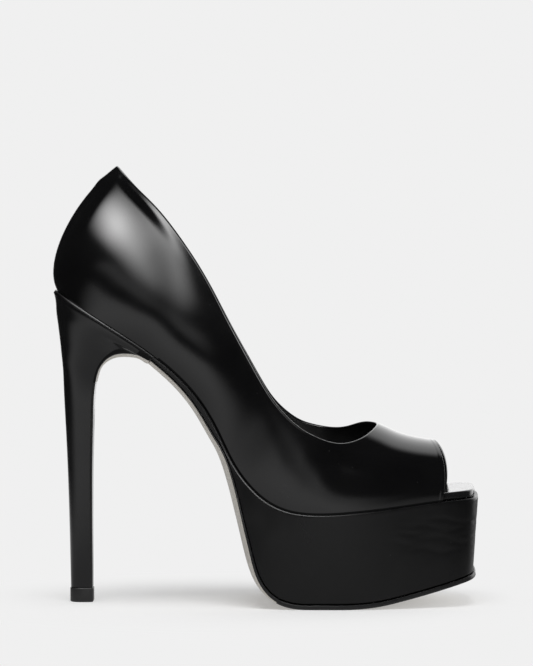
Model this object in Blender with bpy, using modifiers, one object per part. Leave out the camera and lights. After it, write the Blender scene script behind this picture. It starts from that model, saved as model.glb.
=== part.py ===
"""A peep-toe platform stiletto pump for the right foot, built as its separate pieces.

The toe points along +X, the outer side of the foot is -Y and the floor is z = 0. Every table is
in shares of the driving sizes or in millimetres, and MM makes metres of them in the meshes.
"""

import math

import bmesh
import bpy
import numpy as np

MM = 0.001

# Driving sizes in millimetres
PLAN_LENGTH = 204.3      # back of the seat to the front of the toe, measured along the floor
BALL_WIDTH = 77.0        # edge to edge of the platform across the ball of the foot
SEAT_HEIGHT = 152.0      # floor to the seat at its back edge
BALL_HEIGHT = 45.2       # floor to the top of the platform under the ball
BACK_HEIGHT = 60.2       # seat to the collar at the back seam, measured upright
SEAT_BACK_X = -102.3     # where the back of the seat lies along X
TOE_SWING = 2.5          # how far the middle of the toe swings to the inner side of the foot
TOE_LEAD = 2.2           # how far the inner side of the toe reaches ahead, at the ball's half width

GAP = 0.3                # clearance where two pieces meet
WALL = 1.7               # thickness of the upper with its lining
UPPER_INSET = 1.0        # step from the platform's edge in to the foot of the upper
INSOLE_THICK = 3.7
INSOLE_TOE_INSET = 1.6   # edge of the insole in from the platform, ahead of the peep
HEEL_SEAT_LENGTH = 58.0  # seat of the heel, measured along the bottom of the last
TIP_HEIGHT = 6.9
TIP_PROUD = 0.35         # how far the heel tip stands out round the foot of the heel

# Bottom of the last, back to toe: reach in % of PLAN_LENGTH, rise in % of the seat over the ball
BOTTOM_COLUMNS = ("reach", "rise")
BOTTOM = {
    "seat_back": (0.0, 100.0),
    "seat": (11.1, 86.3),
    "breast": (24.2, 69.4),
    "shank": (34.0, 51.0),
    "arch": (38.8, 35.8),
    "steep": (42.5, 21.7),
    "joint_back": (46.2, 12.2),
    "bend": (50.2, 5.6),
    "joint": (54.4, 1.8),
    "ball": (60.8, 0.0),
    "tread": (70.1, 0.7),
    "vamp": (79.0, 2.4),
    "toe": (92.0, 5.4),
    "toe_end": (100.5, 6.6),
}

# Edge of the platform and heel seat on the bottom of the last: along in % of its length, and the
# half widths of the two sides in % of BALL_WIDTH
OUTLINE_COLUMNS = ("along", "outer", "inner")
OUTLINE = {
    "heel_end": (0.0, 0.0, 0.0),
    "heel_turn": (0.9, 14.9, 14.3),
    "heel_curve": (3.4, 25.3, 24.7),
    "seat": (8.0, 31.4, 30.6),
    "seat_wide": (12.8, 32.6, 31.6),
    "breast": (23.1, 29.6, 28.3),
    "waist": (35.1, 27.0, 24.7),
    "arch": (42.7, 28.3, 25.5),
    "shank_end": (49.4, 32.5, 29.2),
    "joint_back": (56.6, 40.6, 37.7),
    "joint": (63.0, 47.2, 45.2),
    "ball": (69.8, 50.4, 49.0),
    "tread": (76.6, 49.6, 49.6),
    "vamp": (83.7, 46.0, 48.2),
    "toe_side": (90.9, 40.5, 44.6),
    "toe_corner": (96.1, 35.0, 39.4),
    "toe_turn": (98.9, 27.5, 32.0),
    "toe_front": (99.9, 16.5, 20.0),
    "toe_middle": (100.0, 0.0, 0.0),
}

# Ribs of the last from its feather edge to its ridge, back seam to peep edge.
#   edge: place on the outline from the back seam to the middle of the toe, %
#   reach, half, height: top of the rib, in % of PLAN_LENGTH, BALL_WIDTH and the collar over the ball
#   flare, lean: degrees that the rib leans out at its foot and in at its top
#   low, high: how far it keeps those directions, in % of the rib's span
#   push: forward bow of the rib in millimetres, most of it in its lower half
RIB_COLUMNS = ("edge", "reach", "half", "height", "flare", "lean", "low", "high", "push")
RIBS = {
    "back": (0.0, 16.2, 0.0, 101.3, 65, 23, 21.5, 42, 0.0),
    "tab": (3.1, 17.0, 8.2, 100.2, 60, 22, 21.5, 40, 0.0),
    "counter": (6.9, 20.0, 18.5, 96.8, 36, 30, 33, 43, 0.0),
    "heel": (12.4, 26.1, 26.0, 89.1, 18, 15, 41, 41, 0.0),
    "quarter": (19.8, 32.0, 29.0, 79.8, 16, -2, 44, 39, 0.0),
    "side": (25.0, 37.6, 31.5, 68.7, 15, -10, 41, 34, 0.0),
    "waist": (30.5, 42.7, 34.0, 58.6, 19, -4, 35, 26, 0.0),
    "shank": (36.0, 46.6, 36.0, 50.2, 27, 23, 31, 23, 0.0),
    "arch": (41.5, 50.1, 36.0, 43.9, 34, 62, 30, 26, 0.0),
    "instep": (46.4, 53.0, 33.5, 40.0, 35, 92, 31, 35, 0.0),
    "joint_back": (51.5, 56.2, 28.5, 37.0, 29, 110, 34, 44, 0.0),
    "joint": (56.2, 59.4, 22.0, 34.6, 17, 118, 36, 52, 0.0),
    "ball_back": (60.6, 62.8, 15.0, 32.5, 6, 114, 40, 56, 0.0),
    "ball": (64.4, 66.2, 8.5, 30.4, 3, 103, 43, 56, 0.0),
    "throat_back": (68.5, 70.1, 2.5, 28.2, 3, 91, 46, 49, 0.0),
    "throat": (74.0, 76.9, 0.0, 24.8, 4, 90, 48, 46, 0.0),
    "vamp": (78.0, 81.0, 0.0, 22.5, 6, 90, 48, 45, 0.0),
    "vamp_front": (82.3, 85.1, 0.0, 21.0, 8, 90, 48, 44, 1.8),
    "peep": (86.9, 90.25, 0.0, 19.9, 6, 90, 48, 40, 4.8),
}

# Collar line cut through the last, as seen from the side: reach in % of PLAN_LENGTH, height in %
# of the collar over the ball, and how much higher the inner side is cut, in millimetres
COLLAR_COLUMNS = ("reach", "height", "inner_rise")
COLLAR = {
    "back": (14.8, 100.0, 0.0),
    "counter": (18.5, 95.4, -0.8),
    "heel": (24.6, 87.7, -1.5),
    "quarter": (30.7, 77.8, -2.0),
    "side": (36.6, 66.2, -2.2),
    "waist": (41.5, 54.7, -2.4),
    "shank": (46.2, 44.2, -2.5),
    "arch": (50.8, 34.3, -2.2),
    "instep": (54.7, 28.4, -1.0),
    "joint_back": (58.4, 24.6, 0.3),
    "joint": (61.8, 22.4, 1.8),
    "ball": (66.3, 20.6, 3.6),
    "throat_side": (70.5, 20.7, 4.6),
    "throat_bend": (74.2, 22.5, 4.0),
    "throat": (76.9, 24.8, 0.0),
}

# Under edge of the platform: along in % of the last's length, as its upper edge, reach in % of
# PLAN_LENGTH, and in millimetres its height over the floor, the outsole's thickness and its crown
TREAD_COLUMNS = ("along", "reach", "up", "thick", "crown")
TREAD = {
    "breast": (23.3, 23.4, 118.1, 1.1, 1.75),
    "shank": (29.9, 29.0, 107.75, 1.1, 1.75),
    "waist": (35.9, 33.7, 96.2, 1.2, 1.7),
    "arch": (42.7, 37.9, 82.3, 1.4, 1.8),
    "rear_top": (49.4, 41.6, 67.6, 1.5, 2.3),
    "rear_high": (51.9, 43.1, 57.7, 1.6, 2.3),
    "rear": (54.4, 44.45, 47.0, 1.7, 2.25),
    "rear_low": (56.8, 45.7, 36.6, 1.8, 2.2),
    "rear_foot": (58.8, 47.0, 26.2, 1.9, 2.25),
    "heel_of_tread": (60.6, 48.4, 16.6, 2.0, 1.95),
    "turn": (62.4, 50.5, 9.4, 2.1, 1.6),
    "turn_low": (64.4, 53.5, 4.7, 2.2, 0.6),
    "flat_back": (66.6, 57.3, 2.7, 2.2, 0.0),
    "flat": (69.6, 61.8, 2.5, 2.2, 0.0),
    "flat_front": (74.5, 69.0, 2.5, 2.2, 0.0),
    "roll": (79.0, 75.2, 3.4, 2.2, 0.0),
    "spring": (84.0, 81.0, 5.7, 2.2, 0.0),
    "vamp": (88.6, 86.6, 8.5, 2.2, 0.0),
    "toe": (94.0, 93.1, 12.1, 2.2, 0.0),
    "toe_end": (100.0, 99.85, 16.0, 2.2, 0.0),
}

# Sections of the heel under its seat, top to foot, each a slanting slice from back to breast.
#   back_in, breast_in: millimetres ahead of the back of the seat
#   back_up, breast_up: % of SEAT_HEIGHT over the floor
#   half: half width in millimetres, corner: rounding of the breast's edges in millimetres,
#   crown: swell of the breast in its middle, which carries on from the outsole's
HEEL_COLUMNS = ("back_in", "back_up", "breast_in", "breast_up", "half", "corner", "crown")
HEEL = {
    "wing": (-0.1, 96.8, 46.3, 77.6, 24.4, 0.5, 2.1),
    "wing_root": (0.3, 93.1, 42.2, 78.9, 22.8, 0.9, 2.1),
    "crook": (0.9, 89.8, 36.4, 79.7, 20.8, 1.2, 2.0),
    "crook_back": (1.6, 86.2, 30.5, 79.5, 18.6, 1.5, 1.8),
    "neck": (2.2, 82.9, 25.7, 78.0, 16.7, 1.7, 1.2),
    "neck_low": (2.7, 79.6, 22.5, 75.6, 15.0, 1.8, 0.4),
    "stem_top": (3.4, 75.0, 20.5, 72.4, 13.0, 1.9, 0.1),
    "stem_high": (3.8, 69.4, 19.3, 68.2, 11.3, 1.9, 0.0),
    "stem": (4.5, 59.9, 18.6, 59.7, 9.7, 1.8, 0.0),
    "stem_mid": (5.4, 47.4, 18.1, 47.4, 8.3, 1.7, 0.0),
    "stem_low": (6.4, 27.6, 17.9, 27.6, 6.9, 1.5, 0.0),
    "foot": (7.2, 4.74, 17.9, 4.74, 5.7, 1.3, 0.0),
}

# How finely the surfaces are laid out
UPPER_RIBS = 34          # ribs of each side from the back seam to the throat
VAMP_RIBS = 9            # ribs of each side from the throat to the peep edge
UPPER_ROWS = 12          # rows of the upper from its foot to its top
EDGE_STEPS = 42          # steps of each side round the outline of the soles
HEEL_STEPS = 13          # steps of each side round a heel section
CORNER_STEPS = 3
BREAST_SHARES = (0.3, 0.75)      # points of each half across the breast, from its middle
UNDER_SHARES = (0.86, 0.62, 0.3)  # rings across the outsole's underside, from its edge


def column(table, columns, name):
    place = columns.index(name)
    return np.array([row[place] for row in table.values()], dtype=float)


def spline(knots, values, at):
    """Natural cubic spline through the values at the knots, read at the places given."""
    step = np.diff(knots)
    slope = np.diff(values) / step
    count = len(knots)
    system = np.eye(count)
    bends = np.zeros(count)
    for i in range(1, count - 1):
        system[i, i - 1:i + 2] = step[i - 1], 2 * (step[i - 1] + step[i]), step[i]
        bends[i] = 6 * (slope[i] - slope[i - 1])
    bends = np.linalg.solve(system, bends)
    k = np.clip(np.searchsorted(knots, at, side="right") - 1, 0, count - 2)
    before = (knots[k + 1] - at) / step[k]
    after = (at - knots[k]) / step[k]
    curve = (before ** 3 - before) * bends[k] + (after ** 3 - after) * bends[k + 1]
    return before * values[k] + after * values[k + 1] + curve * step[k] ** 2 / 6


def chord_lengths(*coordinates):
    steps = np.sqrt(sum(np.diff(values) ** 2 for values in coordinates))
    return np.concatenate([[0.0], np.cumsum(steps)])


def reach_to_x(percent):
    return SEAT_BACK_X + percent / 100 * PLAN_LENGTH


def collar_to_z(percent):
    return BALL_HEIGHT + percent / 100 * (SEAT_HEIGHT + BACK_HEIGHT - BALL_HEIGHT)


class Track:
    """A line in the middle plane of the shoe, read by the distance along the bottom of the last."""

    def __init__(self, along, x, z):
        self.along = along
        self.x = x
        self.z = z

    def tangent(self, along):
        along = np.clip(along, self.along[0], self.along[-1])
        reach = 0.05
        dx = spline(self.along, self.x, along + reach) - spline(self.along, self.x, along - reach)
        dz = spline(self.along, self.z, along + reach) - spline(self.along, self.z, along - reach)
        size = np.hypot(dx, dz)
        return np.stack([dx / size, np.zeros_like(dx), dz / size], axis=-1)

    def normal(self, along):
        tangent = self.tangent(along)
        return np.stack([-tangent[..., 2], tangent[..., 1], tangent[..., 0]], axis=-1)

    def point(self, along):
        inside = np.clip(along, self.along[0], self.along[-1])
        x = spline(self.along, self.x, inside)
        z = spline(self.along, self.z, inside)
        spot = np.stack([x, np.zeros_like(x), z], axis=-1)
        return spot + (along - inside)[..., None] * self.tangent(inside)

    def place(self, along, across, up):
        """Points at a distance across the line and up from it, along its own normal."""
        spot = self.point(along) + self.normal(along) * np.broadcast_to(up, along.shape)[..., None]
        spot[..., 1] += across
        return spot


def last_bottom():
    x = reach_to_x(column(BOTTOM, BOTTOM_COLUMNS, "reach"))
    rise = column(BOTTOM, BOTTOM_COLUMNS, "rise") / 100
    z = BALL_HEIGHT + rise * (SEAT_HEIGHT - BALL_HEIGHT)
    return Track(chord_lengths(x, z), x, z)


def under_edge(length):
    along = column(TREAD, TREAD_COLUMNS, "along") / 100 * length
    x = reach_to_x(column(TREAD, TREAD_COLUMNS, "reach"))
    return Track(along, x, column(TREAD, TREAD_COLUMNS, "up"))


LAST = last_bottom()
LAST_LENGTH = LAST.along[-1]
UNDER = under_edge(LAST_LENGTH)


def outline_knots():
    """The closed edge as one run: outer toe (-1) back to the heel end (0) and on to the inner toe (1)."""
    along = column(OUTLINE, OUTLINE_COLUMNS, "along") / 100 * LAST_LENGTH
    outer = column(OUTLINE, OUTLINE_COLUMNS, "outer") / 100 * BALL_WIDTH
    inner = column(OUTLINE, OUTLINE_COLUMNS, "inner") / 100 * BALL_WIDTH
    outer_run = chord_lengths(along, outer)
    inner_run = chord_lengths(along, inner)
    knots = np.concatenate([-outer_run[:0:-1] / outer_run[-1], inner_run / inner_run[-1]])
    across = np.concatenate([-outer[:0:-1], inner])
    along = np.concatenate([along[:0:-1], along])
    lead = TOE_LEAD * (along / LAST_LENGTH) ** 8 * across / (BALL_WIDTH / 2)
    return knots, along + lead, across


EDGE_KNOTS, EDGE_ALONG, EDGE_ACROSS = outline_knots()


def edge(place, inset=0.0):
    """Along, across and outward direction of the outline at places from -1 to 1, moved in by inset."""
    reach = 0.0005
    along = spline(EDGE_KNOTS, EDGE_ALONG, place)
    across = spline(EDGE_KNOTS, EDGE_ACROSS, place)
    d_along = spline(EDGE_KNOTS, EDGE_ALONG, place + reach) - spline(EDGE_KNOTS, EDGE_ALONG, place - reach)
    d_across = spline(EDGE_KNOTS, EDGE_ACROSS, place + reach) - spline(EDGE_KNOTS, EDGE_ACROSS, place - reach)
    size = np.hypot(d_along, d_across)
    out_along = -d_across / size
    out_across = d_along / size
    return along - out_along * inset, across - out_across * inset, out_along, out_across


def edge_place_at(along, side):
    """Place on the outline, on one side, where it passes a distance along the last."""
    places = np.linspace(0, side, 800)
    return np.interp(along, edge(places)[0], places)


def rib_columns(station):
    """Every rib column at stations counted from the back seam, outer side negative."""
    count = len(RIBS)
    knots = np.arange(1 - count, count, dtype=float)
    found = {}
    for name in RIB_COLUMNS:
        values = column(RIBS, RIB_COLUMNS, name)
        mirrored = -values[:0:-1] if name in ("edge", "half") else values[:0:-1]
        found[name] = spline(knots, np.concatenate([mirrored, values]), station)
    return found


HIGH_PUSH = 0.25         # share of a rib's push that its upper half takes
THROAT_STATION = float(list(RIBS).index("throat"))
PEEP_STATION = float(len(RIBS) - 1)


def rib_controls(station):
    """Four Bezier points of each rib, from the feather edge to the ridge of the last."""
    row = rib_columns(station)
    side = np.where(station < 0, -1.0, 1.0)
    along, across, out_along, out_across = edge(row["edge"] / 100, UPPER_INSET)
    foot = LAST.place(along, across, GAP)
    normal = LAST.normal(along)
    out = out_along[:, None] * LAST.tangent(along)
    out[:, 1] += out_across
    behind_seat = along < OUTLINE["seat_wide"][0] / 100 * LAST_LENGTH
    sideways = np.stack([np.zeros_like(side), side, np.zeros_like(side)], axis=-1)
    top_out = np.where(behind_seat[:, None], out, sideways)
    x = reach_to_x(row["reach"])
    half = np.where(np.abs(station) >= THROAT_STATION, 0.0, row["half"] / 100 * BALL_WIDTH)
    swing = TOE_SWING * np.clip(row["reach"] / 100, 0, 1) ** 2
    top = np.stack([x, half + swing, collar_to_z(row["height"])], axis=-1)
    span = np.linalg.norm(top - foot, axis=1)[:, None]
    flare = np.radians(row["flare"])[:, None]
    lean = np.radians(row["lean"])[:, None]
    low = foot + row["low"][:, None] / 100 * span * (np.cos(flare) * normal + np.sin(flare) * out)
    high = top - row["high"][:, None] / 100 * span * (np.cos(lean) * normal - np.sin(lean) * top_out)
    low[:, 0] += row["push"]
    high[:, 0] += row["push"] * HIGH_PUSH
    return np.stack([foot, low, high, top], axis=1)


def bezier(controls, share):
    """Points of each rib at its own shares of the way up, one row of shares for each rib."""
    t = share[..., None]
    a, b, c, d = (controls[:, None, i] for i in range(4))
    return a * (1 - t) ** 3 + 3 * b * t * (1 - t) ** 2 + 3 * c * t ** 2 * (1 - t) + d * t ** 3


def collar_height(x, side):
    knots = reach_to_x(column(COLLAR, COLLAR_COLUMNS, "reach"))
    z = spline(knots, collar_to_z(column(COLLAR, COLLAR_COLUMNS, "height")), x)
    rise = spline(knots, column(COLLAR, COLLAR_COLUMNS, "inner_rise"), x)
    return z + np.where(side > 0, rise, 0.0)


def collar_share(station, controls):
    """How far up each rib the collar cuts it; ribs ahead of the throat run whole to the ridge."""
    fine = 400
    share = np.broadcast_to(np.linspace(0, 1, fine), (len(station), fine))
    spots = bezier(controls, share)
    over = spots[..., 2] - collar_height(spots[..., 0], station[:, None])
    cut = np.ones(len(station))
    for i in range(len(station)):
        above = np.nonzero(over[i] > 0)[0]
        if abs(station[i]) < THROAT_STATION and len(above):
            k = max(above[0], 1)
            cut[i] = share[i, k - 1] + over[i, k - 1] / (over[i, k - 1] - over[i, k]) / (fine - 1)
    return cut


def even_stations(start, end, count):
    """Stations spread evenly along whichever end of the rib travels further, on either side."""
    station = np.linspace(start, end, 4000)
    travel = np.zeros(len(station) - 1)
    for side in (-1.0, 1.0):
        controls = rib_controls(side * station)
        tops = bezier(controls, collar_share(side * station, controls)[:, None])[:, 0]
        for ends in (controls[:, 0], tops):
            travel = np.maximum(travel, np.linalg.norm(np.diff(ends, axis=0), axis=1))
    run = np.concatenate([[0.0], np.cumsum(travel)])
    return np.interp(np.linspace(0, run[-1], count + 1), run, station)


def upper_stations():
    quarter = even_stations(0.0, THROAT_STATION, UPPER_RIBS)
    vamp = even_stations(THROAT_STATION, PEEP_STATION, VAMP_RIBS)
    one_side = np.concatenate([quarter, vamp[1:]])
    return np.concatenate([-one_side[:0:-1], one_side])


def collection_named(name):
    found = bpy.data.collections.new(name)
    bpy.context.scene.collection.children.link(found)
    return found


def material_named(name, color, roughness, metallic=0.0):
    material = bpy.data.materials.new(name)
    material.use_nodes = True
    shader = material.node_tree.nodes["Principled BSDF"]
    shader.inputs["Base Color"].default_value = (*color, 1.0)
    shader.inputs["Roughness"].default_value = roughness
    shader.inputs["Metallic"].default_value = metallic
    return material


def object_from(name, points, faces, material):
    """One named piece from its points in millimetres and the faces of its loft."""
    mesh = bpy.data.meshes.new(name)
    mesh.from_pydata((np.asarray(points) * MM).tolist(), [], faces)
    shape = bmesh.new()
    shape.from_mesh(mesh)
    bmesh.ops.remove_doubles(shape, verts=shape.verts, dist=0.002 * MM)
    bmesh.ops.recalc_face_normals(shape, faces=shape.faces)
    shape.to_mesh(mesh)
    shape.free()
    mesh.shade_smooth()
    mesh.set_sharp_from_angle(angle=math.radians(40))
    mesh.materials.append(material)
    piece = bpy.data.objects.new(name, mesh)
    parts.objects.link(piece)
    piece.parent = shoe
    return piece


def loft_faces(rings, count):
    """Quads between closed rings of points, laid one ring after another."""
    faces = []
    for ring in range(rings - 1):
        for i in range(count):
            j = (i + 1) % count
            low, high = ring * count, (ring + 1) * count
            faces.append((low + i, low + j, high + j, high + i))
    return faces


def ladder_faces(first, count, lead):
    """Cap of a ring whose second half mirrors its first, as rungs from side to side. The first points
    of each half, lead in number, lie along the first rung."""
    faces = []
    for i in range(lead, count // 2 - 1):
        face = [first + i, first + i + 1, first + count - 2 - i, first + count - 1 - i]
        if i == lead:
            face += [first + k for k in range(count - lead, count)] + [first + k for k in range(lead)]
        faces.append(tuple(face))
    return faces


def loft(name, rings, material, lead=0):
    count = len(rings[0])
    faces = loft_faces(len(rings), count)
    faces += ladder_faces(0, count, lead)
    faces += ladder_faces((len(rings) - 1) * count, count, lead)
    return object_from(name, np.concatenate(rings), faces, material)


def side_places(start_along, tracks):
    """Places down the outer edge from a distance along the last to the toe, then back up the inner,
    spread evenly along whichever of the tracks travels further."""
    halves = []
    for side in (-1.0, 1.0):
        places = np.linspace(edge_place_at(start_along, side), side, 600)
        steps = [np.diff(sole_ring(track, places, 0.0, 0.0), axis=0) for track in tracks]
        travel = np.max(np.linalg.norm(steps, axis=2), axis=0)
        run = np.concatenate([[0.0], np.cumsum(travel)])
        halves.append(np.interp(np.linspace(0, run[-1], EDGE_STEPS + 1), run, places))
    return np.concatenate([halves[0], halves[1][::-1]])


def sole_ring(track, places, inset, up):
    along, across, out_along, out_across = edge(places)
    spots = track.place(along, across - out_across * inset, up)
    return spots - track.tangent(along) * (out_along * inset)[:, None]


def smooth_step(values, start, end):
    share = np.clip((values - start) / (end - start), 0, 1)
    return share * share * (3 - 2 * share)


def build_upper():
    station = upper_stations()
    controls = rib_controls(station)
    cut = collar_share(station, controls)
    share = np.linspace(0, 1, UPPER_ROWS + 1)[None, :] * cut[:, None]
    points = bezier(controls, share)
    rows = UPPER_ROWS + 1
    faces = []
    for i in range(len(station) - 1):
        for j in range(UPPER_ROWS):
            a = i * rows + j
            faces.append((a, a + 1, a + rows + 1, a + rows))
    leather = material_named("black_box_leather", (0.008, 0.008, 0.009), 0.16)
    upper = object_from("upper", points.reshape(-1, 3), faces, leather)
    face_out(upper)
    wall = upper.modifiers.new("wall", "SOLIDIFY")
    wall.thickness = WALL * MM
    wall.offset = -1.0
    wall.use_even_offset = True
    return upper


def face_out(piece):
    """Turn an open surface so that its outer side, the one furthest out at -Y, faces outward."""
    outermost = min(piece.data.polygons, key=lambda face: face.center.y)
    if outermost.normal.y > 0.0:
        piece.data.flip_normals()


def build_insole():
    places = side_places(0.0, [LAST])
    peep = RIBS["peep"][0] / 100
    inside = UPPER_INSET + WALL + GAP
    past_peep = smooth_step(np.abs(places), peep, peep + 0.05)
    inset = inside + (INSOLE_TOE_INSET - inside) * past_peep
    rounding = 0.9
    rings = [
        sole_ring(LAST, places, inset + rounding, GAP),
        sole_ring(LAST, places, inset, GAP + rounding),
        sole_ring(LAST, places, inset, GAP + INSOLE_THICK - rounding),
        sole_ring(LAST, places, inset + 0.3 * rounding, GAP + INSOLE_THICK - 0.3 * rounding),
        sole_ring(LAST, places, inset + rounding, GAP + INSOLE_THICK),
    ]
    return loft("insole", rings, material_named("insole_leather", (0.012, 0.012, 0.013), 0.3))


def build_platform():
    places = side_places(HEEL_SEAT_LENGTH + GAP, [LAST, UNDER])
    rounding = 1.0
    under_inset = 1.0
    crown_top = sole_ring(LAST, places, rounding, 0.0)
    shoulder = sole_ring(LAST, places, 0.3 * rounding, -0.3 * rounding)
    side_top = sole_ring(LAST, places, 0.0, -rounding)
    under = sole_ring(UNDER, places, under_inset, 0.0)
    rings = [crown_top, shoulder]
    for share in (0.0, 0.3, 0.65, 0.97):
        rings.append(side_top + (under - side_top) * share)
    rings.append(sole_ring(UNDER, places, under_inset + 0.7, 0.0))
    return loft("platform", rings, material_named("platform_leather", (0.010, 0.010, 0.011), 0.28))


def build_outsole():
    places = side_places(HEEL_SEAT_LENGTH + GAP, [LAST, UNDER])
    along = edge(places)[0]
    crown = np.clip(spline(UNDER.along, column(TREAD, TREAD_COLUMNS, "crown"), along), 0, None)
    deep = GAP + spline(UNDER.along, column(TREAD, TREAD_COLUMNS, "thick"), along)
    at_toe = smooth_step(along, 0.94 * LAST_LENGTH, 0.99 * LAST_LENGTH)
    inset = 1.4 - 1.2 * at_toe
    rounding = 0.7
    rings = [
        sole_ring(UNDER, places, inset + 0.2, -GAP),
        sole_ring(UNDER, places, inset, -GAP - 0.2),
        sole_ring(UNDER, places, inset, -deep + rounding),
        sole_ring(UNDER, places, inset + 0.3 * rounding, -deep + 0.3 * rounding),
        sole_ring(UNDER, places, inset + rounding, -deep),
    ]
    for share in UNDER_SHARES:
        ring = sole_ring(UNDER, places, inset + rounding, -deep - crown * (1 - share ** 4))
        ring[:, 1] *= share
        rings.append(ring)
    for ring in rings:
        ring[:, 2] = np.maximum(ring[:, 2], 0.0)
    return loft("outsole", rings, material_named("outsole_resin", (0.02, 0.02, 0.021), 0.42))


def heel_section(back, breast, half, corner):
    """Outer and inner half of a flat-fronted round slice, each from the breast round to the back, as
    shares of the slice's depth and distances across it."""
    depth = np.linalg.norm(back - breast)
    widest = OUTLINE["seat_wide"][1] / 100 * BALL_WIDTH
    rows = []
    for side in (-1.0, 1.0):
        at_breast = edge_place_at(HEEL_SEAT_LENGTH, side)
        along, across, _, _ = edge(np.linspace(at_breast, 0, HEEL_STEPS + 1))
        share = 1 - along / HEEL_SEAT_LENGTH
        wide = across / widest * half
        turn = np.radians(np.linspace(0, 90, CORNER_STEPS + 1))
        corner_share = corner / depth * (1 - np.sin(turn))
        corner_wide = wide[0] - side * corner * (1 - np.cos(turn))
        behind = share > corner / depth
        share = np.concatenate([corner_share[::-1], share[behind]])
        wide = np.concatenate([corner_wide[::-1], wide[behind]])
        rows.append(np.stack([share, wide], axis=-1))
    return rows


def even_run(row, count):
    """The same open line with its points spread evenly along it."""
    run = chord_lengths(row[:, 0] * HEEL_SEAT_LENGTH, row[:, 1])
    at = np.linspace(0, run[-1], count + 1)
    return np.stack([np.interp(at, run, row[:, 0]), np.interp(at, run, row[:, 1])], axis=-1)


def with_breast(half_ring, swell):
    """Half of a heel ring with points ahead of it across the breast, swelled out in the middle."""
    across = []
    for share in BREAST_SHARES:
        spot = half_ring[0] + swell * (1 - share ** 4)
        spot[1] = half_ring[0][1] * share
        across.append(spot)
    return np.concatenate([across, half_ring])


def heel_ring(back, breast, half, corner, swell):
    halves = []
    for row in heel_section(back, breast, half, corner):
        flat = even_run(row, HEEL_STEPS + CORNER_STEPS)
        spots = breast + (back - breast) * flat[:, :1]
        spots[:, 1] += flat[:, 1]
        halves.append(with_breast(spots, swell))
    return np.concatenate([halves[0], halves[1][::-1]])


def seat_ring(inset, up):
    """Top edge of the heel on the bottom of the last, spread like the sections under it."""
    count = HEEL_STEPS + CORNER_STEPS
    halves = []
    for side in (-1.0, 1.0):
        places = np.linspace(edge_place_at(HEEL_SEAT_LENGTH, side), 0, count + 1)
        halves.append(with_breast(sole_ring(LAST, places, inset, up), np.zeros(3)))
    return np.concatenate([halves[0], halves[1][::-1]])


def heel_line(x_column, z_column):
    x = SEAT_BACK_X + column(HEEL, HEEL_COLUMNS, x_column)
    z = column(HEEL, HEEL_COLUMNS, z_column) / 100 * SEAT_HEIGHT
    return np.stack([x, np.zeros_like(x), z], axis=-1)


def build_heel():
    rounding = 1.5
    rings = [
        seat_ring(rounding, 0.0),
        seat_ring(0.3 * rounding, -0.3 * rounding),
        seat_ring(0.0, -rounding),
    ]
    backs = heel_line("back_in", "back_up")
    breasts = heel_line("breast_in", "breast_up")
    halves = column(HEEL, HEEL_COLUMNS, "half")
    corners = column(HEEL, HEEL_COLUMNS, "corner")
    run = np.gradient(breasts, axis=0)
    out = np.stack([-run[:, 2], np.zeros(len(run)), run[:, 0]], axis=-1)
    out /= np.linalg.norm(out, axis=1, keepdims=True)
    swells = out * column(HEEL, HEEL_COLUMNS, "crown")[:, None]
    for section in zip(backs, breasts, halves, corners, swells):
        rings.append(heel_ring(*section))
    leather = material_named("heel_leather", (0.010, 0.010, 0.011), 0.25)
    return loft("heel", rings, leather, lead=len(BREAST_SHARES))


def build_heel_tip():
    back = heel_line("back_in", "back_up")[-1]
    breast = heel_line("breast_in", "breast_up")[-1]
    half = column(HEEL, HEEL_COLUMNS, "half")[-1]
    corner = column(HEEL, HEEL_COLUMNS, "corner")[-1]
    lip = 0.5
    top_lip = (TIP_PROUD - lip, TIP_HEIGHT)
    side_top = (TIP_PROUD, TIP_HEIGHT - lip)
    side_low = (TIP_PROUD, lip)
    floor_lip = (TIP_PROUD - lip, 0.0)
    rings = []
    for grow, z in (top_lip, side_top, side_low, floor_lip):
        step = np.array([grow, 0.0, 0.0])
        ring = heel_ring(back - step, breast + step, half + grow, corner, np.zeros(3))
        ring[:, 2] = z
        rings.append(ring)
    rubber = material_named("heel_tip_rubber", (0.015, 0.015, 0.016), 0.5)
    return loft("heel_tip", rings, rubber, lead=len(BREAST_SHARES))


def seat_origin():
    """Move the shoe so that its origin lies on the floor under the middle of its box."""
    bpy.context.view_layer.update()
    graph = bpy.context.evaluated_depsgraph_get()
    spots = []
    for piece in parts.objects:
        if piece.type == "MESH":
            spots += [piece.matrix_world @ vertex.co for vertex in piece.evaluated_get(graph).data.vertices]
    spots = np.array(spots)
    middle = (spots.min(axis=0) + spots.max(axis=0)) / 2
    shoe.location = (-middle[0], -middle[1], -spots[:, 2].min())


for old in list(bpy.data.objects):
    bpy.data.objects.remove(old, do_unlink=True)

parts = collection_named("platform_stiletto")
shoe = bpy.data.objects.new("shoe", None)
parts.objects.link(shoe)

build_upper()
build_insole()
build_platform()
build_outsole()
build_heel()
build_heel_tip()
seat_origin()
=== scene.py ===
import math

import bmesh
import bpy
import numpy as np
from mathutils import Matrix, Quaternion, Vector


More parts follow.
